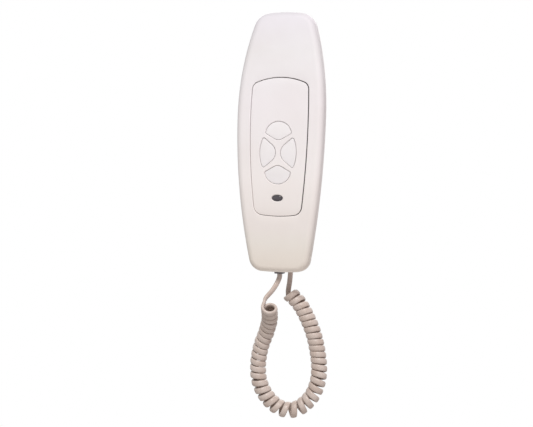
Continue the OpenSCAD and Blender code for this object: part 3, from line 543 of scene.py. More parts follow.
def block(name: str, size: Sequence[float], place: Matrix, edge: float, steps: int = 3) -> Object:
    """A box with rounded edges.

    Args:
        name: the new object's name.
        size: its width, depth and height in millimetres.
        place: where its middle goes, in metres.
        edge: the radius of its edges in millimetres.
        steps: facets across an edge.

    Returns:
        The new object, with its place in its mesh.
    """
    select_only()
    bpy.ops.mesh.primitive_cube_add(size=1)
    obj = bpy.context.object
    obj.name = name
    obj.matrix_world = place @ Matrix.Diagonal((*(side * MM for side in size), 1.0))
    settle(obj)

    def round_off(mesh: bmesh.types.BMesh) -> None:
        """Bevels every edge."""
        bpy.ops.mesh.select_all(action="SELECT")
        bpy.ops.mesh.bevel(offset=edge * MM, offset_type="OFFSET", segments=steps, profile=0.5)

    shape(obj, round_off)
    return obj


# Finishes


def linear(colour: str) -> tuple[float, float, float, float]:
    """Turns an sRGB hex value into linear red, green, blue and alpha."""
    parts = [int(colour[i:i + 2], 16) / 255 for i in (1, 3, 5)]
    return (*(c / 12.92 if c <= 0.04045 else ((c + 0.055) / 1.055) ** 2.4 for c in parts), 1.0)


def add_node(tree: bpy.types.NodeTree, kind: str, inputs: dict[str, Any] | None = None,
             **settings: Any) -> bpy.types.Node:
    """Adds a node, sets its properties and fills its inputs.

    Args:
        tree: the node tree.
        kind: the node's type.
        inputs: a value or a socket to link for each named input.
        settings: the node's properties.

    Returns:
        The new node.
    """
    made = tree.nodes.new(kind)
    for key, value in settings.items():
        setattr(made, key, value)
    for name, value in (inputs or {}).items():
        if isinstance(value, bpy.types.NodeSocket):
            tree.links.new(value, made.inputs[name])
        else:
            made.inputs[name].default_value = value
    return made


# The part of a cloudy pattern that swings the gloss, the part that mixes colours, and its detail
GLOSS_SPAN = (0.3, 0.7)
DRIFT_SPAN = (0.35, 0.65)
CLOUD_DETAIL = 2.0
LEAST_ROUGHNESS = 0.02


@dataclass(frozen=True)
class Finish:
    """A surface whose colour drifts a little, with uneven gloss and a fine grain.

    The drift, the gloss marks and the grain are cloudy patterns with a size in millimetres.
    """

    name: str
    colour: str
    drift_colour: str
    roughness: float
    drift_mm: float = 18.0
    gloss_swing: float = 0.06
    gloss_mm: float = 5.0
    grain_mm: float = 0.7
    grain_depth: float = 0.015
    ior: float = 1.5
    metallic: float = 0.0
    transmission: float = 0.0
    coat: float = 0.0
    sheen: float = 0.0

    def make(self) -> Material:
        """Builds the material.

        Returns:
            The new material.
        """
        material = bpy.data.materials.new(self.name)
        material.use_nodes = True
        tree = material.node_tree
        tree.nodes.clear()
        place = add_node(tree, "ShaderNodeTexCoord").outputs["Object"]
        colour = self.paint(tree, place)
        gloss = self.cloud(tree, place, self.gloss_mm)
        roughness = add_node(tree, "ShaderNodeMapRange", {
            "Value": gloss, "From Min": GLOSS_SPAN[0], "From Max": GLOSS_SPAN[1],
            "To Min": max(self.roughness - self.gloss_swing, LEAST_ROUGHNESS),
            "To Max": self.roughness + self.gloss_swing}).outputs["Result"]
        bump = add_node(tree, "ShaderNodeBump", {
            "Height": self.cloud(tree, place, self.grain_mm),
            "Distance": self.grain_depth * MM, "Strength": 1.0}).outputs["Normal"]
        shader = add_node(tree, "ShaderNodeBsdfPrincipled", {
            "Base Color": colour, "Roughness": roughness, "Normal": bump,
            "Metallic": self.metallic, "IOR": self.ior,
            "Transmission Weight": self.transmission, "Coat Weight": self.coat,
            "Sheen Weight": self.sheen})
        add_node(tree, "ShaderNodeOutputMaterial", {"Surface": shader.outputs["BSDF"]})
        return material

    def paint(self, tree: bpy.types.NodeTree, place: bpy.types.NodeSocket) -> bpy.types.NodeSocket:
        """The colour over the surface: one colour that drifts into another."""
        return self.mixed(tree, self.cloud(tree, place, self.drift_mm), self.colour, self.drift_colour)

    @staticmethod
    def cloud(tree: bpy.types.NodeTree, place: bpy.types.NodeSocket,
              size_mm: float) -> bpy.types.NodeSocket:
        """A cloudy pattern from 0 to 1 with patches of a size in millimetres."""
        return add_node(tree, "ShaderNodeTexNoise", {
            "Vector": place, "Scale": 1 / (size_mm * MM), "Detail": CLOUD_DETAIL}).outputs["Fac"]

    @staticmethod
    def mixed(tree: bpy.types.NodeTree, share: bpy.types.NodeSocket, first: str,
              second: str) -> bpy.types.NodeSocket:
        """Two colours mixed by a pattern, with the pattern's middle stretched.

        Args:
            tree: the node tree.
            share: the pattern.
            first: the colour where the pattern is low.
            second: the colour where it is high.

        Returns:
            The mixed colour.
        """
        ramp = add_node(tree, "ShaderNodeValToRGB", {"Fac": share})
        for mark, position, colour in zip(ramp.color_ramp.elements, DRIFT_SPAN, (first, second)):
            mark.position = position
            mark.color = linear(colour)
        return ramp.outputs["Color"]


@dataclass(frozen=True)
class BoardFinish(Finish):
    """A circuit board: a green mask over copper tracks that show through as paler bands."""

    track_colour: str = "#4f8a5c"
    track_pitch: float = 3.0
    track_run: float = 12.0
    track_width: float = 0.36

    def paint(self, tree: bpy.types.NodeTree, place: bpy.types.NodeSocket) -> bpy.types.NodeSocket:
        """The mask's colour with the tracks in it.

        Args:
            tree: the node tree.
            place: the places on the surface.

        Returns:
            The colour.
        """
        mask = super().paint(tree, place)
        flat = add_node(tree, "ShaderNodeMapping", {
            "Vector": place, "Rotation": (math.pi / 2, 0.0, 0.0)}).outputs["Vector"]
        tracks = add_node(tree, "ShaderNodeTexBrick", {
            "Vector": flat, "Scale": 1.0, "Brick Width": self.track_run * MM,
            "Row Height": self.track_pitch * MM, "Mortar Size": self.track_width * MM,
            "Color1": (0.0, 0.0, 0.0, 1.0), "Color2": (0.0, 0.0, 0.0, 1.0),
            "Mortar": (1.0, 1.0, 1.0, 1.0)}).outputs["Color"]
        return add_node(tree, "ShaderNodeMixRGB", {
            "Fac": tracks, "Color1": mask, "Color2": linear(self.track_colour)}).outputs["Color"]


@dataclass(frozen=True)
class PaintedShadeFinish(Finish):
    """A finish whose colour fades along the handset's length to paint shade and light, under the same
    slight drift.

    Each stop is a height in millimetres and the colour there.
    """

    stops: tuple[tuple[float, str], ...] = ()

    def paint(self, tree: bpy.types.NodeTree, place: bpy.types.NodeSocket) -> bpy.types.NodeSocket:
        """The colours of the painted shade and light at their heights, with the drift laid over them.

        Args:
            tree: the node tree.
            place: the places on the surface.

        Returns:
            The colour.
        """
        drift = super().paint(tree, place)
        height = add_node(tree, "ShaderNodeSeparateXYZ", {"Vector": place}).outputs["Z"]
        low, high = self.stops[0][0], self.stops[-1][0]
        share = add_node(tree, "ShaderNodeMapRange", {
            "Value": height, "From Min": low * MM, "From Max": high * MM}).outputs["Result"]
        fade = add_node(tree, "ShaderNodeValToRGB", {"Fac": share})
        marks = fade.color_ramp.elements
        for number, (z, colour) in enumerate(self.stops):
            mark = marks[number] if number < 2 else marks.new(1.0)
            mark.position = (z - low) / (high - low)
            mark.color = linear(colour)
        return add_node(tree, "ShaderNodeMixRGB", {
            "Fac": 1.0, "Color1": fade.outputs["Color"], "Color2": drift},
            blend_type="MULTIPLY").outputs["Color"]


# Painted shade and light along the handset, as heights and colours: darker towards the top end, warmer
# lower down, with a painted highlight on the bottom rounding
IVORY_PAINTED_SHADE = ((-104.5, "#fffaf2"), (-101.5, "#f5eae0"), (-98.5, "#ebe1d7"), (-80.0, "#ece5de"),
              (-68.0, "#ede5e1"), (-32.0, "#efe8e6"), (0.0, "#eae4e4"), (32.0, "#e7e1e3"),
              (72.0, "#dfdbdc"), (99.0, "#dcd7dc"), (104.0, "#cec9cd"))
# Moulded ABS, ivory: satin, with a faint spark-eroded grain, and painted shade and light along its
# length: darker towards the top end, warmer lower down, with a painted highlight on the bottom rounding
SHELL_ABS = PaintedShadeFinish("ivory_moulded_abs", "#ffffff", "#fcfbfa", 0.62, drift_mm=40.0, ior=1.53,
                        stops=IVORY_PAINTED_SHADE)
# The same ABS from another mould, a shade greyer and less polished
REAR_ABS = Finish("ivory_moulded_abs_rear", "#eae3e1", "#e6dfdc", 0.5, drift_mm=35.0,
                  grain_depth=0.03, ior=1.53)
# Polished ABS of the buttons: a little glossier than the panel round them
BUTTON_ABS = Finish("ivory_polished_abs", "#ebe6e7", "#e9e4e4", 0.5, drift_mm=12.0,
                    grain_depth=0.006, ior=1.53)
# Smoked acrylic: near black, with a clean gloss
SMOKED_ACRYLIC = Finish("smoked_acrylic", "#3d353c", "#443c44", 0.16, gloss_swing=0.03,
                        grain_depth=0.002, ior=1.49, coat=0.6)
# Smoke-tinted polycarbonate of the plugs: dark, glassy, with light caught in its edges
PLUG_POLYCARBONATE = Finish("smoke_polycarbonate", "#6b6468", "#5c555a", 0.14, gloss_swing=0.04,
                            grain_depth=0.002, ior=1.58, transmission=0.55)
# Soft PVC of the curly cord: beige, satin, handled enough to be patchy
CORD_PVC = Finish("beige_soft_pvc", "#cdbeb5", "#c1afa4", 0.42, drift_mm=9.0, gloss_swing=0.08,
                  grain_mm=0.5, grain_depth=0.012, ior=1.52, sheen=0.1)
# Gold-plated contact springs: bright yellow metal, lightly rubbed
GOLD_PLATE = Finish("gold_plated_bronze", "#d9b25f", "#c79c48", 0.24, metallic=1.0,
                    grain_depth=0.004)
# Zinc-plated steel of screws, spring and capsule: bluish grey, softly brushed
ZINC_STEEL = Finish("zinc_plated_steel", "#b9bcc0", "#a4a7ac", 0.32, drift_mm=2.0, metallic=1.0,
                    grain_mm=0.3, grain_depth=0.006)
# Black nylon of sockets, switch, sounder and capsule: dull, faintly mottled
BLACK_NYLON = Finish("black_moulded_nylon", "#232327", "#2a2a2e", 0.55, grain_depth=0.02)
# Rubber of the rest pads, and of the black strip of painted shade under the panel's groove: matt black
# that takes a grey bloom
PAD_RUBBER = Finish("black_rubber", "#2b2a2b", "#373536", 0.78, drift_mm=3.0, grain_depth=0.03)
# Silicone of the button mat and the microphone boot: translucent grey, soft sheen
SILICONE = Finish("grey_silicone", "#9a9a97", "#8c8c89", 0.6, drift_mm=6.0, sheen=0.3)
# Glass-fibre board: green mask, glossy, with tracks showing through
BOARD = BoardFinish("green_masked_board", "#2b6344", "#306b4a", 0.3, grain_depth=0.01)
# Open-cell foam of the gasket: dark grey, dry and pitted
FOAM = Finish("open_cell_foam", "#5a5a5c", "#48484a", 0.92, drift_mm=1.2, grain_mm=0.6,
              grain_depth=0.25)
# PVC-covered wire inside the handset: red-brown, satin
WIRE_PVC = Finish("wire_pvc", "#9c4a34", "#8a3f2c", 0.45, drift_mm=4.0)
# Blue nylon of the terminal block: satin moulding
TERMINAL_NYLON = Finish("blue_moulded_nylon", "#3f6f9f", "#386492", 0.42)
# Water-clear epoxy of the indicator lamp: pale green, glassy
LAMP_EPOXY = Finish("clear_lamp_epoxy", "#c9d8c4", "#bfd0ba", 0.15, transmission=0.4, ior=1.54)

NODE_FINISHES: dict[str, Finish] = {
    "button_mat": SILICONE, "button_board": BOARD, "board_screws": ZINC_STEEL,
    "indicator_lamp": LAMP_EPOXY, "receiver_gasket": FOAM, "receiver_capsule": BLACK_NYLON,
    "receiver_wires": WIRE_PVC, "microphone_boot": SILICONE, "microphone_capsule": ZINC_STEEL,
    "microphone_wires": WIRE_PVC, "handset_jack": BLACK_NYLON, "jack_wires": WIRE_PVC,
    "shell_screws": ZINC_STEEL, "base_plate": REAR_ABS, "base_board": BOARD,
    "base_board_screws": ZINC_STEEL, "terminal_block": TERMINAL_NYLON,
    "terminal_screws": ZINC_STEEL, "call_sounder": BLACK_NYLON, "hook_switch": BLACK_NYLON,
    "hook_spring": ZINC_STEEL, "base_jack": BLACK_NYLON, "cover_screws": ZINC_STEEL,
}


class Paints:
    """Makes each finish once and hands out its material."""

    def __init__(self) -> None:
        """Starts with no material made."""
        self.made: dict[str, Material] = {}

    def of(self, finish: Finish) -> Material:
        """The material of a finish.

        Args:
            finish: the finish.

        Returns:
            Its material, made at its first use.
        """
        if finish.name not in self.made:
            self.made[finish.name] = finish.make()
        return self.made[finish.name]

    def dress_nodes(self) -> None:
        """Gives every solid that stays in sight its material."""
        for name, finish in NODE_FINISHES.items():
            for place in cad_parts[name].material_slots:
                place.material = self.of(finish)
            log.info("%s: %s", name, finish.name)


# Studio


@dataclass(frozen=True)
class Lamp:
    """A square soft box: its place, what it looks at, its side, power and colour."""

    name: str
    place: tuple[float, float, float]
    aim: tuple[float, float, float]
    side: float
    power: float
    colour: str

    def hang(self) -> None:
        """Hangs the soft box and aims it."""
        data = bpy.data.lights.new(self.name, "AREA")
        data.size = self.side
        data.energy = self.power
        data.color = linear(self.colour)[:3]
        lamp = bpy.data.objects.new(self.name, data)
        lamp.location = self.place
        way = Vector(self.aim) - Vector(self.place)
        lamp.rotation_euler = way.to_track_quat("-Z", "Y").to_euler()
        bpy.context.scene.collection.objects.link(lamp)


@dataclass(frozen=True)
class Studio:
    """The camera of the photograph, the soft boxes, the white surround and the pale floor."""

    eye: tuple[float, float, float] = (0.1927, -0.9092, -0.0495)
    aim: tuple[float, float, float] = (-0.0113, -0.0326, -0.0574)
    roll: float = 1.28
    focal_px: float = 1125.0
    sensor_mm: float = 36.0
    ambient: float = 0.35
    ambient_colour: str = "#ffffff"
    floor_z: float = -1.15
    floor_side: float = 5.0
    floor_colour: str = "#efeae6"
    lamps: tuple[Lamp, ...] = (
        Lamp("key_softbox", (0.17, -1.15, 1.08), (0.0, -0.03, -0.05), 0.5, 19.5, "#ffffff"),
        Lamp("side_softbox", (1.1, -0.2, 0.2), (0.0, -0.03, -0.05), 0.5, 1.4, "#ffe6ec"),
        Lamp("low_softbox", (0.1, -0.9, -0.9), (0.0, -0.03, -0.1), 0.8, 1.3, "#ffffff"),
        Lamp("back_softbox", (0.3, 1.2, 0.9), (0.0, -0.03, -0.05), 1.0, 8.0, "#ffffff"),
    )

    def set_camera(self) -> None:
        """Places the camera at the photograph's viewing angle."""
        data = bpy.data.cameras.new("camera")
        data.sensor_width = self.sensor_mm
        data.lens = self.focal_px / PICTURE_WIDTH * self.sensor_mm
        camera = bpy.data.objects.new("camera", data)
        back = (Vector(self.eye) - Vector(self.aim)).normalized()
        level = Vector((0.0, 0.0, 1.0)).cross(back).normalized()
        lean = Matrix.Rotation(math.radians(self.roll), 3, back)
        right = lean @ level
        up = back.cross(right)
        turn = Matrix((right, up, back)).transposed().to_4x4()
        camera.matrix_world = Matrix.Translation(self.eye) @ turn
        bpy.context.scene.collection.objects.link(camera)
        bpy.context.scene.camera = camera

    def light(self) -> None:
        """Hangs the soft boxes, sets the surround and lays the floor."""
        bpy.context.scene.view_settings.view_transform = "Standard"
        for lamp in self.lamps:
            lamp.hang()
        world = bpy.data.worlds.new("white_surround")
        bpy.context.scene.world = world
        world.use_nodes = True
        tree = world.node_tree
        tree.nodes.clear()
        soft = add_node(tree, "ShaderNodeBackground", {
            "Color": linear(self.ambient_colour), "Strength": self.ambient})
        white = add_node(tree, "ShaderNodeBackground", {
            "Color": (1.0, 1.0, 1.0, 1.0), "Strength": 1.0})
        seen = self.seen(tree)
        mixed = add_node(tree, "ShaderNodeMixShader", {"Fac": seen})
        tree.links.new(soft.outputs["Background"], mixed.inputs[1])
        tree.links.new(white.outputs["Background"], mixed.inputs[2])
        add_node(tree, "ShaderNodeOutputWorld", {"Surface": mixed.outputs["Shader"]})
        self.lay_floor()

    @staticmethod
    def seen(tree: bpy.types.NodeTree) -> bpy.types.NodeSocket:
        """1 for rays from the camera, in a mirror or through glass, and 0 for light.

        Args:
            tree: the surround's node tree.

        Returns:
            The value.
        """
        path = add_node(tree, "ShaderNodeLightPath").outputs
        gloss = add_node(tree, "ShaderNodeMath", operation="MAXIMUM")
        tree.links.new(path["Is Camera Ray"], gloss.inputs[0])
        tree.links.new(path["Is Glossy Ray"], gloss.inputs[1])
        glass = add_node(tree, "ShaderNodeMath", operation="MAXIMUM")
        tree.links.new(gloss.outputs["Value"], glass.inputs[0])
        tree.links.new(path["Is Transmission Ray"], glass.inputs[1])
        return glass.outputs["Value"]

    def lay_floor(self) -> None:
        """Lays a plain pale floor well below the cord, as under a handset on its wall."""
        select_only()
        bpy.ops.mesh.primitive_plane_add(size=self.floor_side, location=(0.0, 0.0, self.floor_z))
        floor = bpy.context.object
        floor.name = "floor"
        settle(floor)
        paint = Finish("painted_floor", self.floor_colour, self.floor_colour, 0.8, drift_mm=400.0)
        floor.data.materials.append(paint.make())


# The curly cord and its plugs


@dataclass(frozen=True)
class CurlyCord:
    """A flat cord wound into curls: two straight leads and the loop of curls between them."""

    width: float = 4.75
    lead_width: float = 4.1
    widen_power: int = 4
    thickness: float = 2.6
    curl_r: float = 5.3
    turns: float = 38.5
    bend_step: float = 4.0
    bend_margin: float = 4.8
    heading_step: float = 0.5
    end_reach: float = 4.4
    straight: float = 2.4
    steps_per_turn: int = 30
    section_sides: int = 18
    squareness: float = 2.5
    smooth_angle: float = 60.0
    axis_steps: int = 24
    lead_steps: int = 10
    axis: tuple[tuple[float, float, float], ...] = (
        (-5, -43, -131.5), (-5.5, -39.5, -135), (-6, -36, -138.5), (-7, -32, -143), (-9, -28, -148),
        (-11.5, -24.5, -154.5), (-15, -22, -162.5), (-17.5, -20.5, -172), (-18.5, -19.5, -182),
        (-17.5, -19.5, -192.5), (-13.5, -19.5, -202), (-7, -19, -210), (1, -18.5, -215),
        (9.5, -18, -216), (17.5, -17, -212.8), (25.5, -16, -204.5), (30, -15.5, -193.5),
        (31, -14.5, -181.5), (29, -13.5, -167), (25, -13, -152.5), (19, -12.5, -139.5),
        (12.5, -12, -129.5), (5.5, -12, -123))
    handset_end: tuple[float, float, float] = (-1.25, -24.18, -105.6)
    handset_lead: tuple[tuple[float, float, float], ...] = (
        (-1.9, -24.7, -110.5), (-3.4, -25.9, -114.2), (-6, -29.8, -119.3))
    base_end: tuple[float, float, float] = (4.5, -7.5, -65.6)
    base_lead: tuple[tuple[float, float, float], ...] = (
        (4.5, -7.5, -72), (4.5, -7, -82), (4.3, -7, -93), (4.1, -7, -104), (3.4, -6.5, -113),
        (2.2, -5.2, -120.5))

    def turn_shares(self, marks: np.ndarray, way: Callable[[np.ndarray], np.ndarray]) -> np.ndarray:
        """Which share of the turns lies before each mark along the loop.

        Every curl has the same room on the inside of the loop's bend.

        Args:
            marks: distances along the loop.
            way: the loop's heading at given distances.

        Returns:
            A share from 0 to 1 for each mark.
        """
        step = self.bend_step
        inside = np.clip(marks, self.bend_margin, marks[-1] - self.bend_margin)
        bend = np.linalg.norm(way(inside + step) - way(inside - step), axis=1) / (2 * step)
        room = np.diff(marks) * (1 - (self.curl_r + self.thickness / 2) * bend[:-1])
        return np.concatenate([[0.0], np.cumsum(room)]) / room.sum()

    def curls(self) -> tuple[np.ndarray, np.ndarray, np.ndarray]:
        """The curls' middle line.

        Returns:
            Its points, the way along the loop and the way the cord runs, at each point.
        """
        fine = spline(self.axis, self.axis_steps)
        marks = distances(fine)

        def place(s: np.ndarray) -> np.ndarray:
            """The loop's places at given distances."""
            return np.column_stack([np.interp(s, marks, fine[:, k]) for k in range(3)])

        def way(s: np.ndarray) -> np.ndarray:
            """The loop's heading at given distances."""
            return unit(place(s + self.heading_step) - place(s - self.heading_step))

        count = int(self.turns * self.steps_per_turn)
        s = np.linspace(0.0, marks[-1], count + 1)
        along = way(s)
        front = unit(np.array([0.0, -1.0, 0.0]) + along[:, 1:2] * along)
        share = np.interp(s, marks, self.turn_shares(marks, way))
        phase = math.pi / 2 - 2 * math.pi * self.turns * share
        radial = np.cos(phase)[:, None] * front + np.sin(phase)[:, None] * np.cross(along, front)
        return place(s) + self.curl_r * radial, along, np.cross(radial, along)

    def run(self) -> tuple[np.ndarray, np.ndarray, np.ndarray]:
        """The whole cord's middle line, from the handset's plug to the base's.

        Returns:
            Its points, and the way across the flat cord and its width at each point.
        """
        curls, along, forward = self.curls()
        reach = self.end_reach
        down = np.array([0.0, 0.0, -self.straight])
        first = curls[0] - reach * forward[0]
        last = curls[-1] + reach * forward[-1]
        start, end = np.array(self.handset_end), np.array(self.base_end)
        lead_a = spline([start, start + down, *self.handset_lead, first - reach * forward[0], first],
                        self.lead_steps)
        lead_b = spline([end, end + down, *self.base_lead, last + reach * forward[-1], last],
                        self.lead_steps)[::-1]
        side = np.array([1.0, 0.0, 0.0])
        share_a = np.linspace(0.0, 1.0, len(lead_a))[:, None]
        share_b = np.linspace(1.0, 0.0, len(lead_b))[:, None]
        across = np.vstack([side * (1 - share_a) + along[0] * share_a, along,
                            -side * (1 - share_b) + along[-1] * share_b])
        width = np.full(len(across), self.width)
        slack = self.width - self.lead_width
        width[:len(lead_a)] -= slack * (1 - share_a[:, 0] ** self.widen_power)
        width[-len(lead_b):] -= slack * (1 - share_b[:, 0] ** self.widen_power)
        return np.vstack([lead_a, curls, lead_b]), across, width

    def build(self) -> tuple[Object, np.ndarray]:
        """Draws the cord as one tube.

        Returns:
            The new object, and the cord's middle line in metres.
        """
        line, across, width = self.run()
        way = unit(np.gradient(line, axis=0))
        across = unit(across - np.sum(across * way, axis=1, keepdims=True) * way)
        through = np.cross(across, way)
        angles = 2 * math.pi * np.arange(self.section_sides) / self.section_sides
        power = 2 / self.squareness
        flat = np.sign(np.cos(angles)) * np.abs(np.cos(angles)) ** power
        deep = self.thickness / 2 * np.sign(np.sin(angles)) * np.abs(np.sin(angles)) ** power
        rings = (line[:, None] + flat[None, :, None] * (across * width[:, None] / 2)[:, None]
                 + deep[None, :, None] * through[:, None])
        count, sides = rings.shape[:2]
        index = np.arange(count * sides).reshape(count, sides)
        turn = np.roll(index, -1, axis=1)
        quads = np.stack([index[:-1], index[1:], turn[1:], turn[:-1]], axis=-1).reshape(-1, 4)
        mesh = bpy.data.meshes.new("curly_cord")
        mesh.from_pydata((rings.reshape(-1, 3) * MM).tolist(), [],
                         [*quads.tolist(), index[0].tolist(), index[-1][::-1].tolist()])
        obj = bpy.data.objects.new("curly_cord", mesh)
        bpy.context.scene.collection.objects.link(obj)
        shape(obj, close_up)
        smooth(obj, self.smooth_angle)
        return obj, line * MM

    def dress(self, finish: Material) -> Object:
        """Args:
            finish: the cord's material.

        Returns:
            The cord.
        """
        obj, line = self.build()
        obj.data.materials.append(finish)
        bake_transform(obj)
        self.share_lift(line)
        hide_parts("cord_lead_handset", "cord_curls", "cord_lead_base")
        log.info("curly_cord: %.2f m of cord", distances(line)[-1])
        return obj

    def share_lift(self, line: np.ndarray) -> None:
        """Works out each place's share of the handset's lift from its distance along the cord; the share
        is not used.

        Args:
            line: its middle line from the handset's end, in metres.
        """
        share = 1 - distances(line) / distances(line)[-1]
        share = share * share * (3 - 2 * share)


@dataclass(frozen=True)
class HandsetPlug:
    """A tinted four-way plug: its body, the latch in front of it and the contacts at its back."""

    name: str
    node: str
    body: Body
    socket: tuple[float, float, float]
    width: float = 7.6
    depth: float = 6.5
    length: float = 13.5
    out: float = 1.6
    edge: float = 0.5
    latch_width: float = 3.2
    latch_thick: float = 1.1
    latch_sunk: float = 0.05
    latch_edge: float = 0.3
    ways: int = 4
    contact_pitch: float = 1.27
    contact_size: tuple[float, float, float] = (0.5, 0.6, 5.0)
    contact_sunk: float = 0.2
    contact_drop: float = 3.5
    contact_edge: float = 0.12
    contact_steps: int = 2

    def build(self, paints: Paints) -> Object:
        """Models the plug and dresses it.

        Args:
            paints: the materials.

        Returns:
            The plug.
        """
        x, y, z = self.socket
        inside = self.length - self.out
        case = block(self.name, (self.width, self.depth, self.length),
                     at(x, y, z - self.out + self.length / 2), self.edge)
        latch = block("latch", (self.latch_width, self.latch_thick, inside),
                      at(x, self.latch_y(), z + (inside - self.out) / 2), self.latch_edge)
        contacts = []
        for i in range(self.ways):
            aside = (i - (self.ways - 1) / 2) * self.contact_pitch
            seat = at(x + aside, y + self.depth / 2 - self.contact_sunk, z + inside - self.contact_drop)
            contacts.append(block("contact", self.contact_size, seat, self.contact_edge,
                                  self.contact_steps))
        plug = join(self.name, [case, latch])
        springs = join(self.name + "_contacts", contacts)
        hand_over(plug, self.body, Slot.PLUG, paints.of(PLUG_POLYCARBONATE), self.node)
        hand_over(springs, self.body, Slot.PLUG, paints.of(GOLD_PLATE))
        return plug

    def latch_y(self) -> float:
        """Where the middle of the latch lies, in front of the plug."""
        return self.socket[1] - (self.depth + self.latch_thick) / 2 + self.latch_sunk


HANDSET_SOCKET = (-1.25, -24.18, -104.0)
BASE_SOCKET = (4.5, -7.5, -64.0)
PLUG_ROOM = 0.35
MOUTH_EDGE = 0.4


def plug_mouth(socket: tuple[float, float, float]) -> list[Object]:
    """The cutters of the mouth that a plug and its latch go through.

    Args:
        socket: the middle of the socket's mouth, in millimetres.

    Returns:
        The cutters.
    """
    plug = HandsetPlug("", "", Body.HANDSET, socket)
    x, y, z = socket
    high = 2 * (plug.length - plug.out)
    room = 2 * PLUG_ROOM
    return [block("mouth", (plug.width + room, plug.depth + room, high), at(x, y, z), MOUTH_EDGE),
            block("notch", (plug.latch_width + room, plug.latch_thick + room, high),
                  at(x, plug.latch_y(), z), MOUTH_EDGE)]


# The handset


@dataclass(frozen=True)
class FrontShell:
    """The bowed front half, with its large rounded edge and the panel's opening."""

    wall: float = 2.2
    edge_r: float = 5.0
    edge_steps: int = 12
    depth: float = 12.5
    opening_edge: float = 0.45
    rim_edge: float = 0.35
    rim_steps: int = 3
    face_steps: int = 6
    back_steps: int = 4

    def build(self, paints: Paints) -> Object:
        """Models the shell and dresses it.

        Args:
            paints: the materials.

        Returns:
            The shell.
        """
        opening, edge = PANEL_LINE.points(0.0), HANDSET_LINE.points(self.edge_r)
        lip = PANEL_LINE.points(-self.opening_edge)
        rings = [BOW.face(opening, self.wall)]
        for inset, depth in rounding(self.opening_edge)[::-1]:
            rings.append(BOW.face(PANEL_LINE.points(-inset), depth))
        rings += [BOW.face(lip + (edge - lip) * share) for share in between(self.face_steps)]
        for inset, depth in rounding(self.edge_r, self.edge_steps):
            rings.append(BOW.face(HANDSET_LINE.points(inset), depth))
        for inset, depth in rounding(self.rim_edge, self.rim_steps)[::-1]:
            rings.append(BOW.face(HANDSET_LINE.points(inset), self.depth - depth))
        rings.append(BOW.face(HANDSET_LINE.points(self.wall), self.depth))
        for inset, depth in rounding(self.edge_r - self.wall)[::-1]:
            rings.append(BOW.face(HANDSET_LINE.points(self.wall + inset), self.wall + depth))
        for share in between(self.back_steps):
            rings.append(BOW.face(edge + (opening - edge) * share, self.wall))
        rings.append(rings[0])
        shell = skin("front_casing", rings)
        carve(shell, plug_mouth(HANDSET_SOCKET))
        return hand_over(shell, Body.HANDSET, Slot.SHELL, paints.of(SHELL_ABS), "front_shell")


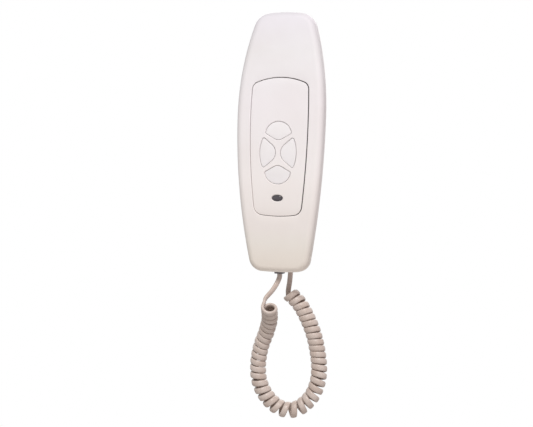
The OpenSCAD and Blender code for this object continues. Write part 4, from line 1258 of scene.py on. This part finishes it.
@dataclass(frozen=True)
class RearShell:
    """The hollow back half: earpiece opening, screw wells, speech holes and the hook's slot."""

    wall: float = 2.2
    draft: float = 3.0
    edge_r: float = 6.0
    edge_steps: int = 12
    rim: float = 12.8
    rim_edge: float = 0.35
    rim_steps: int = 3
    lip_inset: float = 2.4
    lip_t: float = 1.2
    lip_h: float = 2.1
    face_shares: tuple[float, ...] = (0.88, 0.76, 0.64, 0.52, 0.4, 0.28, 0.16, 0.06, 0.0)
    ear_z: float = 66.0
    ear_r: float = 17.7
    ear_depth: float = 12.0
    ear_flare: float = 0.5
    ear_out: float = 5.5
    ear_sides: int = 96
    wells: tuple[tuple[float, float], ...] = ((0.0, 91.0), (-15.0, -91.0), (15.0, -91.0))
    well_r: float = 2.6
    well_floor: float = 2.0
    well_flare: float = 0.4
    well_out: float = 4.0
    well_sides: int = 40
    shank_r: float = 1.3
    shank_over: float = 1.0
    shank_sides: int = 32
    mic_z: float = -78.0
    mic_pitch: float = 3.0
    mic_hole_r: float = 0.9
    mic_depth: float = 4.0
    mic_flare: float = 0.25
    mic_out: float = 3.75
    mic_sides: int = 32
    slot_size: tuple[float, float] = (14.7, 5.7)
    slot_depth: float = 6.35
    slot_edge: float = 0.5

    def build(self, paints: Paints) -> Object:
        """Models the shell and dresses it.

        Args:
            paints: the materials.

        Returns:
            The shell.
        """
        middle = (0.0, BOW.apex_z)
        edge = HANDSET_LINE.points(self.draft + self.edge_r)
        rings = [BOW.rear(shrink(edge, middle, share)) for share in self.face_shares[::-1]]
        for inset, depth in rounding(self.edge_r, self.edge_steps):
            rings.append(BOW.rear(HANDSET_LINE.points(self.draft + inset), -depth))
        for inset, depth in rounding(self.rim_edge, self.rim_steps)[::-1]:
            rings.append(BOW.face(HANDSET_LINE.points(inset), self.rim + depth))
        lip = self.lip_inset
        for inset, depth in ((lip, 0.0), (lip, -self.lip_h), (lip + self.lip_t, -self.lip_h),
                             (lip + self.lip_t, 0.0)):
            rings.append(BOW.face(HANDSET_LINE.points(inset), self.rim + depth))
        inner = self.draft + self.wall
        for inset, depth in rounding(self.edge_r - self.wall)[::-1]:
            rings.append(BOW.rear(HANDSET_LINE.points(inner + inset), -self.wall - depth))
        rings += [BOW.rear(shrink(edge, middle, share), -self.wall) for share in self.face_shares]
        shell = skin("rear_casing", rings)
        carve(shell, self.well_tubes(), "UNION")
        carve(shell, self.cutters())
        return hand_over(shell, Body.HANDSET, Slot.REAR, paints.of(REAR_ABS), "rear_shell")

    def well_tubes(self) -> list[Object]:
        """The tubes inside the shell that the case screws stand in.

        Returns:
            The tubes.
        """
        outer = self.well_r + self.wall / 2
        tubes = []
        for x, z in self.wells:
            back = spot(BOW.rear, x, z, -self.wall / 2)[1]
            front = spot(BOW.face, x, z, self.rim)[1]
            tubes.append(turned("tube", ((outer, 0.0), (outer, back - front)),
                                at(x, back, z) @ FORWARDS, self.well_sides))
        return tubes

    def cutters(self) -> list[Object]:
        """The cutters of every opening in the back.

        Returns:
            The cutters.
        """
        tools = [turned("ear", countersunk(self.ear_r, self.ear_depth, self.ear_flare, self.ear_out),
                        BOW.rear_frame(self.ear_z), self.ear_sides)]
        for x, z in self.wells:
            floor = spot(BOW.face, x, z, self.rim + self.well_floor)[1]
            mouth = spot(BOW.rear, x, z)[1]
            well = countersunk(self.well_r, mouth - floor, self.well_flare, self.well_out)
            shank = ((self.shank_r, -2 * self.well_floor), (self.shank_r, self.shank_over))
            tools.append(turned("well", well, at(x, mouth, z) @ BACKWARDS, self.well_sides))
            tools.append(turned("shank", shank, at(x, floor, z) @ BACKWARDS, self.shank_sides))
        hole = countersunk(self.mic_hole_r, self.mic_depth, self.mic_flare, self.mic_out)
        for i in (-1, 0, 1):
            place = BOW.rear_frame(self.mic_z) @ at(i * self.mic_pitch, 0.0, 0.0)
            tools.append(turned("speech_hole", hole, place, self.mic_sides))
        slot = block("slot", (*self.slot_size, 2 * self.slot_depth), hook_frame(), self.slot_edge)
        return [*tools, slot, *plug_mouth(HANDSET_SOCKET)]


@dataclass(frozen=True)
class Petal:
    """A petal button: a round nose towards the middle, straight flanks and an arched far edge."""

    body: Body
    way: tuple[float, float]
    start: float
    nose_r: float
    flank: float
    reach: float
    outer_r: float
    centre: tuple[float, float]
    tip_r: float = 1.4
    steps: int = 12
    tip_steps: int = 6
    flank_steps: int = 5

    def points(self, inset: float) -> np.ndarray:
        """The petal's outline (x, z).

        Args:
            inset: how far inside the outline the points lie.

        Returns:
            An array of points.
        """
        lean = math.radians(self.flank)
        ahead = np.array([math.cos(lean), math.sin(lean)])
        aside = np.array([-math.sin(lean), math.cos(lean)])
        nose = np.array([self.start + self.nose_r, 0.0])
        far = np.array([self.reach - self.outer_r, 0.0])
        root = nose + (self.nose_r - self.tip_r) * aside
        back = (root - far) @ ahead
        rest = (root - far) @ (root - far) - (self.outer_r - self.tip_r) ** 2
        tip = root + (math.sqrt(back * back - rest) - back) * ahead
        first, last = nose + (self.nose_r - inset) * aside, tip + (self.tip_r - inset) * aside
        half = np.vstack([
            arc(nose, self.nose_r - inset, math.pi, heading(aside), self.steps),
            first + (last - first) * (np.arange(self.flank_steps) / self.flank_steps)[:, None],
            arc(tip, self.tip_r - inset, heading(aside), heading(tip - far), self.tip_steps),
            arc(far, self.outer_r - inset, heading(tip - far), 0.0, self.steps),
            [[self.reach - inset, 0.0]],
        ])
        whole = np.vstack([half, half[-2:0:-1] * [1, -1]])
        axes = np.array([self.way, (-self.way[1], self.way[0])])
        return whole @ axes + self.centre

    def middle(self) -> np.ndarray:
        """The middle of the petal."""
        return self.points(0.0).mean(axis=0)


@dataclass(frozen=True)
class ButtonPanel:
    """The panel in the front: the black strip of painted shade under its groove, its four petal buttons
    and the indicator's window.

    The upright and the sideways petals are each a start, nose radius, flank angle, reach and outer
    radius.
    """

    keys_x: float = -0.5
    keys_z: float = -9.25
    upright: tuple[float, ...] = (10.1, 6.3, 60.0, 24.8, 10.6)
    sideways: tuple[float, ...] = (1.9, 8.4, 40.3, 14.8, 30.0)
    gap: float = 0.52
    sunk: float = 0.5
    seat: tuple[float, float] = (-0.24, -0.06)
    thick: float = 3.2
    flange: float = 2.0
    flange_depth: float = 2.55
    flange_thick: float = 0.65
    # The black strip of painted shade under the groove: its thickness and its room
    shade_strip: float = 0.3
    shade_strip_room: float = 0.1
    edge: float = 0.3
    undercut: float = 0.3
    key_gap: float = 0.26
    key_sunk: float = 0.75
    key_crown: float = 0.15
    key_edge: float = 0.25
    key_depth: float = 3.2
    key_shares: tuple[float, ...] = (0.85, 0.7, 0.55, 0.4, 0.25, 0.12, 0.0)
    hole_edge: float = 0.5
    hole_depth: float = 8.0
    hole_out: float = 3.0
    lens_z: float = -45.0
    lens_size: tuple[float, float] = (8.8, 5.0)
    lens_sides: int = 48
    lens_recess: float = 0.2
    lens_gap: float = 0.1
    lens_ring: float = 0.75
    lens_rim_depth: float = 1.3
    lens_edge: float = 0.35
    lens_crown: float = 0.15
    lens_shares: tuple[float, ...] = (0.8, 0.6, 0.4, 0.2, 0.0)
    lens_back: float = 0.5
    edge_steps: int = 5

    def petals(self) -> list[Petal]:
        """The four buttons' outlines.

        Returns:
            The upper, left, right and lower petal.
        """
        middle = (self.keys_x, self.keys_z)
        return [Petal(Body.UPPER, (0.0, 1.0), *self.upright, middle),
                Petal(Body.LEFT, (-1.0, 0.0), *self.sideways, middle),
                Petal(Body.RIGHT, (1.0, 0.0), *self.sideways, middle),
                Petal(Body.LOWER, (0.0, -1.0), *self.upright, middle)]

    def lens_middle(self) -> tuple[float, float]:
        """The middle of the indicator."""
        return self.keys_x, self.lens_z

    def lens_points(self, inset: float) -> np.ndarray:
        """The indicator's oval outline (x, z) at an inset."""
        ring = arc((0.0, 0.0), 1.0, 0.0, 2 * math.pi, self.lens_sides)
        return ring * (np.array(self.lens_size) / 2 - inset) + self.lens_middle()

    def lens_hole(self, inset: float) -> np.ndarray:
        """The outline (x, z) of the indicator's opening at an inset."""
        return self.lens_points(inset - self.lens_gap)

    def line(self, inset: float) -> np.ndarray:
        """The panel's outline (x, z) at an inset, where it sits in its opening."""
        return PANEL_LINE.points(inset) + self.seat

    def cutter(self, outline: Callable[[float], np.ndarray]) -> Object:
        """A cutter that follows the bow and breaks the edge of the opening that it makes.

        Args:
            outline: the opening's points at an inset.

        Returns:
            The cutter.
        """
        edge, out = self.hole_edge, self.hole_out
        steps = ((0.0, self.hole_depth), (0.0, self.sunk + edge), (-edge, self.sunk),
                 (-edge - out, self.sunk - out))
        return skin("opening", [BOW.face(outline(inset), depth) for inset, depth in steps])

    def build_groove_shade(self, paints: Paints) -> Object:
        """Models the dark strip between the panel's flange and the shell, painted shade that darkens the
        groove round the panel, and dresses it.

        Args:
            paints: the materials.

        Returns:
            The strip.
        """
        # A black strip of painted shade on the groove's floor, so that the groove round the panel reads
        # dark
        inner, outer = self.gap + self.undercut - self.shade_strip_room, -self.flange
        front, back = self.flange_depth - self.shade_strip, self.flange_depth
        steps = ((inner, front), (outer, front), (outer, back), (inner, back), (inner, front))
        strip = skin("panel_groove_shade", [BOW.face(self.line(inset), depth) for inset, depth in steps])
        return hand_over(strip, Body.HANDSET, Slot.RUBBER, paints.of(PAD_RUBBER))

    def build_panel(self, paints: Paints) -> Object:
        """Models the panel and dresses it.

        Args:
            paints: the materials.

        Returns:
            The panel.
        """
        middle = (0.0, (PANEL_LINE.top_z + PANEL_LINE.bottom_z) / 2)
        face = self.line(self.gap + self.edge)
        rings = [BOW.face(shrink(face, middle, share), self.sunk) for share in FACE_SHARES[::-1]]
        for inset, depth in rounding(self.edge):
            rings.append(BOW.face(self.line(self.gap + inset), self.sunk + depth))
        for inset, depth in ((self.gap + self.undercut, self.flange_depth),
                             (-self.flange, self.flange_depth),
                             (-self.flange, self.flange_depth + self.flange_thick)):
            rings.append(BOW.face(self.line(inset), depth))
        rings += [BOW.face(shrink(face, middle, share), self.thick) for share in FACE_SHARES]
        panel = skin("key_panel", rings)
        carve(panel, [self.cutter(petal.points) for petal in self.petals()])
        carve(panel, [self.cutter(self.lens_hole)])
        return hand_over(panel, Body.HANDSET, Slot.SHELL, paints.of(SHELL_ABS), "button_panel")

    def build_buttons(self, paints: Paints) -> list[Object]:
        """Models the four buttons and dresses them.

        Args:
            paints: the materials.

        Returns:
            The buttons.
        """
        buttons = []
        for petal in self.petals():
            crown = petal.points(self.key_gap + self.key_edge)
            rings = [BOW.face(petal.points(self.key_gap), self.key_depth)]
            for inset, depth in rounding(self.key_edge, self.edge_steps)[::-1]:
                rings.append(BOW.face(petal.points(self.key_gap + inset), self.key_sunk + depth))
            for share in self.key_shares:
                lift = self.key_crown * (1 - share * share)
                rings.append(BOW.face(shrink(crown, petal.middle(), share), self.key_sunk - lift))
            name = petal.body.value
            buttons.append(hand_over(skin(name + "_cap", rings), petal.body, Slot.BUTTONS,
                                     paints.of(BUTTON_ABS), name))
        return buttons

    def build_lens(self, paints: Paints) -> Object:
        """Models the indicator's window and dresses it.

        Args:
            paints: the materials.

        Returns:
            The window.
        """
        middle, front = self.lens_middle(), self.sunk + self.lens_recess
        rim, crown = self.lens_points(0.0), self.lens_points(self.lens_ring + self.lens_edge)
        rings = [BOW.face(shrink(rim, middle, self.lens_back), self.thick), BOW.face(rim, self.thick),
                 BOW.face(rim, self.lens_rim_depth),
                 BOW.face(self.lens_points(self.lens_ring), self.lens_rim_depth)]
        for inset, depth in rounding(self.lens_edge, self.edge_steps)[::-1]:
            rings.append(BOW.face(self.lens_points(self.lens_ring + inset), front + depth))
        for share in self.lens_shares:
            lift = self.lens_crown * (1 - share * share)
            rings.append(BOW.face(shrink(crown, middle, share), front - lift))
        lens = skin("indicator_window", rings)
        return hand_over(lens, Body.HANDSET, Slot.LENS, paints.of(SMOKED_ACRYLIC), "indicator_lens")


@dataclass(frozen=True)
class Earpiece:
    """The round cap over the receiver, dished and pierced with rings of holes."""

    z: float = 66.0
    radius: float = 17.5
    sides: int = 96
    proud: float = 0.5
    thick: float = 2.4
    collar_l: float = 12.0
    collar_t: float = 1.4
    collar_in: float = 0.1
    flange_w: float = 1.5
    flange_back: float = 2.6
    flange_t: float = 1.3
    edge: float = 0.6
    edge_steps: int = 5
    rim_w: float = 2.5
    dish: float = 0.5
    hole_r: float = 1.0
    hole_depth: float = 5.0
    hole_flare: float = 0.2
    hole_out: float = 2.8
    hole_sides: int = 24
    rows: tuple[tuple[int, float], ...] = ((1, 0.0), (6, 5.0), (12, 10.0))

    def build(self, paints: Paints) -> Object:
        """Models the cap and dresses it.

        Args:
            paints: the materials.

        Returns:
            The cap.
        """
        inner, collar = self.radius - self.collar_t, self.radius - self.collar_in
        flange, flange_low = self.radius + self.flange_w, -self.flange_back - self.flange_t
        dish_r = self.radius - self.rim_w
        profile = [(0.0, -self.thick), (inner / 2, -self.thick), (inner, -self.thick),
                   (inner, -self.collar_l), (collar, -self.collar_l), (collar, flange_low),
                   (flange, flange_low), (flange, -self.flange_back), (self.radius, -self.flange_back)]
        profile += rounded_top(self.radius, self.proud, self.edge, self.edge_steps)
        profile += [(dish_r * share, self.face_height(share)) for share in (1.0, *FACE_SHARES)]
        cap = turned("receiver_grille", profile, BOW.rear_frame(self.z), self.sides)
        carve(cap, [self.holes()])
        return hand_over(cap, Body.HANDSET, Slot.REAR, paints.of(REAR_ABS), "receiver_cap")

    def face_height(self, share: float) -> float:
        """How high the dished face stands at a share of the dish's radius."""
        return self.proud - self.dish * (1 - share * share)

    def holes(self) -> Object:
        """The cutter of every hole.

        Returns:
            The cutter, as one object.
        """
        drill = countersunk(self.hole_r, self.hole_depth, self.hole_flare, self.hole_out)
        drills = []
        for count, ring_r in self.rows:
            height = self.face_height(ring_r / (self.radius - self.rim_w))
            for i in range(count):
                turn = 2 * math.pi * i / count
                place = at(ring_r * math.cos(turn), ring_r * math.sin(turn), height)
                drills.append(turned("drill", drill, BOW.rear_frame(self.z) @ place, self.hole_sides))
        return join("drills", drills)


# The wall base


@dataclass(frozen=True)
class WallBase:
    """The domed cover on the wall, its lug, rubber rests and hook plunger."""

    width: float = 52.0
    length: float = 122.0
    middle_z: float = -3.0
    corner_r: float = 9.0
    corner_steps: int = 10
    side_steps: int = 14
    wall: float = 2.0
    draw_in: float = 1.5
    edge_r: float = 1.6
    edge_steps: int = 8
    pin_sides: int = 48
    screw_x: float = 18.0
    screw_z: tuple[float, float] = (49.5, -55.5)
    screw_r: float = 2.4
    screw_sink: float = 2.0
    screw_flare: float = 0.35
    screw_out: float = 4.0
    screw_bore: float = 1.2
    bore_span: tuple[float, float] = (-6.0, -1.0)
    boss_r: float = 4.0
    boss_t: float = 4.0
    pad_r: float = 4.0
    pad_x: float = 15.0
    pad_z: tuple[float, float] = (38.0, -44.0)
    pad_sunk: float = 0.8
    pad_out: float = 0.9
    pad_edge: float = 0.6
    pad_steps: int = 5
    pad_room: float = 0.05
    seat_out: float = 3.0
    plunger_x: float = -11.0
    plunger_z: float = -8.0
    plunger_r: float = 3.0
    plunger_edge: float = 0.8
    plunger_steps: int = 6
    plunger_gap: float = 0.08
    plunger_bore: float = 8.0
    plunger_flare: float = 0.3
    plunger_out: float = 3.0
    flange_w: float = 9.0
    flange_t: float = 1.3
    flange_edge: float = 0.3
    spigot_r: float = 1.7
    spigot_l: float = 2.0
    lug_size: tuple[float, float] = (14.0, 5.0)
    lug_root: float = 8.0
    lug_in: float = 6.0
    lug_edge: float = 0.9
    lug_steps: int = 4

    def outline(self, inset: float) -> np.ndarray:
        """The base's rounded outline (x, z).

        Args:
            inset: how far inside the outline the points lie.

        Returns:
            An array of points.
        """
        r = self.corner_r - inset
        half = np.array([self.width, self.length]) / 2 - self.corner_r
        bends = []
        for number, sides in enumerate(((1, -1), (1, 1), (-1, 1), (-1, -1))):
            angles = (number - 1 + np.linspace(0.0, 1.0, self.corner_steps + 1)) * math.pi / 2
            bends.append(half * sides + r * np.column_stack([np.cos(angles), np.sin(angles)]))
        points = []
        for bend, ahead in zip(bends, bends[1:] + bends[:1]):
            points += [bend, bend[-1] + (ahead[0] - bend[-1]) * between(self.side_steps)[:, None]]
        return np.vstack(points) + [0.0, self.middle_z]

    def build_cover(self, paints: Paints) -> Object:
        """Models the cover with its lug and dresses it.

        Args:
            paints: the materials.

        Returns:
            The cover.
        """
        middle = (0.0, self.middle_z)
        inside, face = self.outline(self.wall), self.outline(self.edge_r)
        rings = [BOW.dome(shrink(inside, middle, share), self.wall) for share in FACE_SHARES[::-1]]
        rings += [BOW.dome(inside, self.wall), on_wall(inside), on_wall(self.outline(self.draw_in))]
        for inset, depth in rounding(self.edge_r, self.edge_steps)[::-1]:
            rings.append(BOW.dome(self.outline(inset), depth))
        rings += [BOW.dome(shrink(face, middle, share)) for share in FACE_SHARES]
        cover = skin("base_housing", rings)
        carve(cover, [self.lug(), *self.bosses()], "UNION")
        carve(cover, self.cutters())
        return hand_over(cover, Body.BASE, Slot.REAR, paints.of(REAR_ABS), "base_cover")

    def lug(self) -> Object:
        """The sloping lug that the handset hangs on.

        Returns:
            The lug.
        """
        reach = self.lug_root + self.lug_in
        place = hook_frame() @ at(0.0, 0.0, self.lug_in - reach / 2)
        return block("lug", (*self.lug_size, reach), place, self.lug_edge, self.lug_steps)

    def screw_spots(self) -> list[tuple[float, float]]:
        """Where the cover's four screws are."""
        return [(side * self.screw_x, z) for side in (-1, 1) for z in self.screw_z]

    def pad_spots(self) -> list[tuple[float, float]]:
        """Where the four rubber rests are."""
        return [(side * self.pad_x, z) for side in (-1, 1) for z in self.pad_z]

    def pin(self, name: str, x: float, z: float, profile: Sequence[Sequence[float]]) -> Object:
        """A turned piece that looks forwards from the dome's face at (x, z)."""
        return turned(name, profile, at(*spot(BOW.dome, x, z)) @ FORWARDS, self.pin_sides)

    def bosses(self) -> list[Object]:
        """The bosses behind the cover's screws."""
        profile = ((self.boss_r, -self.boss_t), (self.boss_r, -self.wall / 2))
        return [self.pin("boss", x, z, profile) for x, z in self.screw_spots()]

    def cutters(self) -> list[Object]:
        """The cutters of screw wells, pad seats, the plunger's bore and the plug's mouth.

        Returns:
            The cutters.
        """
        well = countersunk(self.screw_r, self.screw_sink, self.screw_flare, self.screw_out)
        bore = [(self.screw_bore, height) for height in self.bore_span]
        seat = [(self.pad_r + self.pad_room, height) for height in (-self.pad_sunk, self.seat_out)]
        guide = countersunk(self.plunger_r + self.plunger_gap, self.plunger_bore, self.plunger_flare,
                            self.plunger_out)
        tools = []
        for x, z in self.screw_spots():
            tools += [self.pin("well", x, z, well), self.pin("bore", x, z, bore)]
        tools += [self.pin("seat", x, z, seat) for x, z in self.pad_spots()]
        tools.append(self.pin("guide", self.plunger_x, self.plunger_z, guide))
        return [*tools, *plug_mouth(BASE_SOCKET)]

    def build_pads(self, paints: Paints) -> Object:
        """Models the rubber rests and dresses them.

        Args:
            paints: the materials.

        Returns:
            The rests, as one piece.
        """
        profile = [(0.0, -self.pad_sunk), (self.pad_r, -self.pad_sunk)]
        profile += rounded_top(self.pad_r, self.pad_out, self.pad_edge, self.pad_steps)
        profile.append((0.0, self.pad_out))
        pads = join("rubber_rests", [self.pin("pad", x, z, profile) for x, z in self.pad_spots()])
        return hand_over(pads, Body.BASE, Slot.RUBBER, paints.of(PAD_RUBBER), "rest_pads")

    def build_plunger(self, paints: Paints) -> Object:
        """Models the hook plunger and dresses it.

        Args:
            paints: the materials.

        Returns:
            The plunger.
        """
        low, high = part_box("hook_plunger")
        face = spot(BOW.dome, self.plunger_x, self.plunger_z)[1]
        tip, back = face - low.y / MM, face - high.y / MM
        step = back + self.spigot_l
        profile = [(0.0, back), (self.spigot_r, back), (self.spigot_r, step), (self.plunger_r, step)]
        profile += rounded_top(self.plunger_r, tip, self.plunger_edge, self.plunger_steps)
        profile.append((0.0, tip))
        stem = self.pin("stem", self.plunger_x, self.plunger_z, profile)
        flange_y = high.y / MM - self.spigot_l - self.flange_t / 2
        flange = block("flange", (self.flange_w, self.flange_t, (high.z - low.z) / MM),
                       at(self.plunger_x, flange_y, (low.z + high.z) / 2 / MM), self.flange_edge)
        plunger = join("hook_button", [stem, flange])
        return hand_over(plunger, Body.PLUNGER, Slot.BUTTONS, paints.of(BUTTON_ABS), "hook_plunger")


def main() -> None:
    """Builds the scene: camera and cord first, then the handset, the base and the light."""
    logging.basicConfig(level=logging.INFO, format="%(name)s: %(message)s")
    studio = Studio()
    studio.set_camera()
    paints = Paints()
    plugs = [HandsetPlug("handset_cord_plug", "handset_plug", Body.HANDSET, HANDSET_SOCKET).build(paints),
             HandsetPlug("base_cord_plug", "base_plug", Body.BASE, BASE_SOCKET).build(paints)]
    CurlyCord().dress(paints.of(CORD_PVC))
    FrontShell().build(paints)
    RearShell().build(paints)
    panel = ButtonPanel()
    panel.build_panel(paints)
    panel.build_groove_shade(paints)
    panel.build_buttons(paints)
    panel.build_lens(paints)
    Earpiece().build(paints)
    base = WallBase()
    base.build_cover(paints)
    base.build_pads(paints)
    base.build_plunger(paints)
    paints.dress_nodes()
    studio.light()


if __name__ == "__main__":
    main()
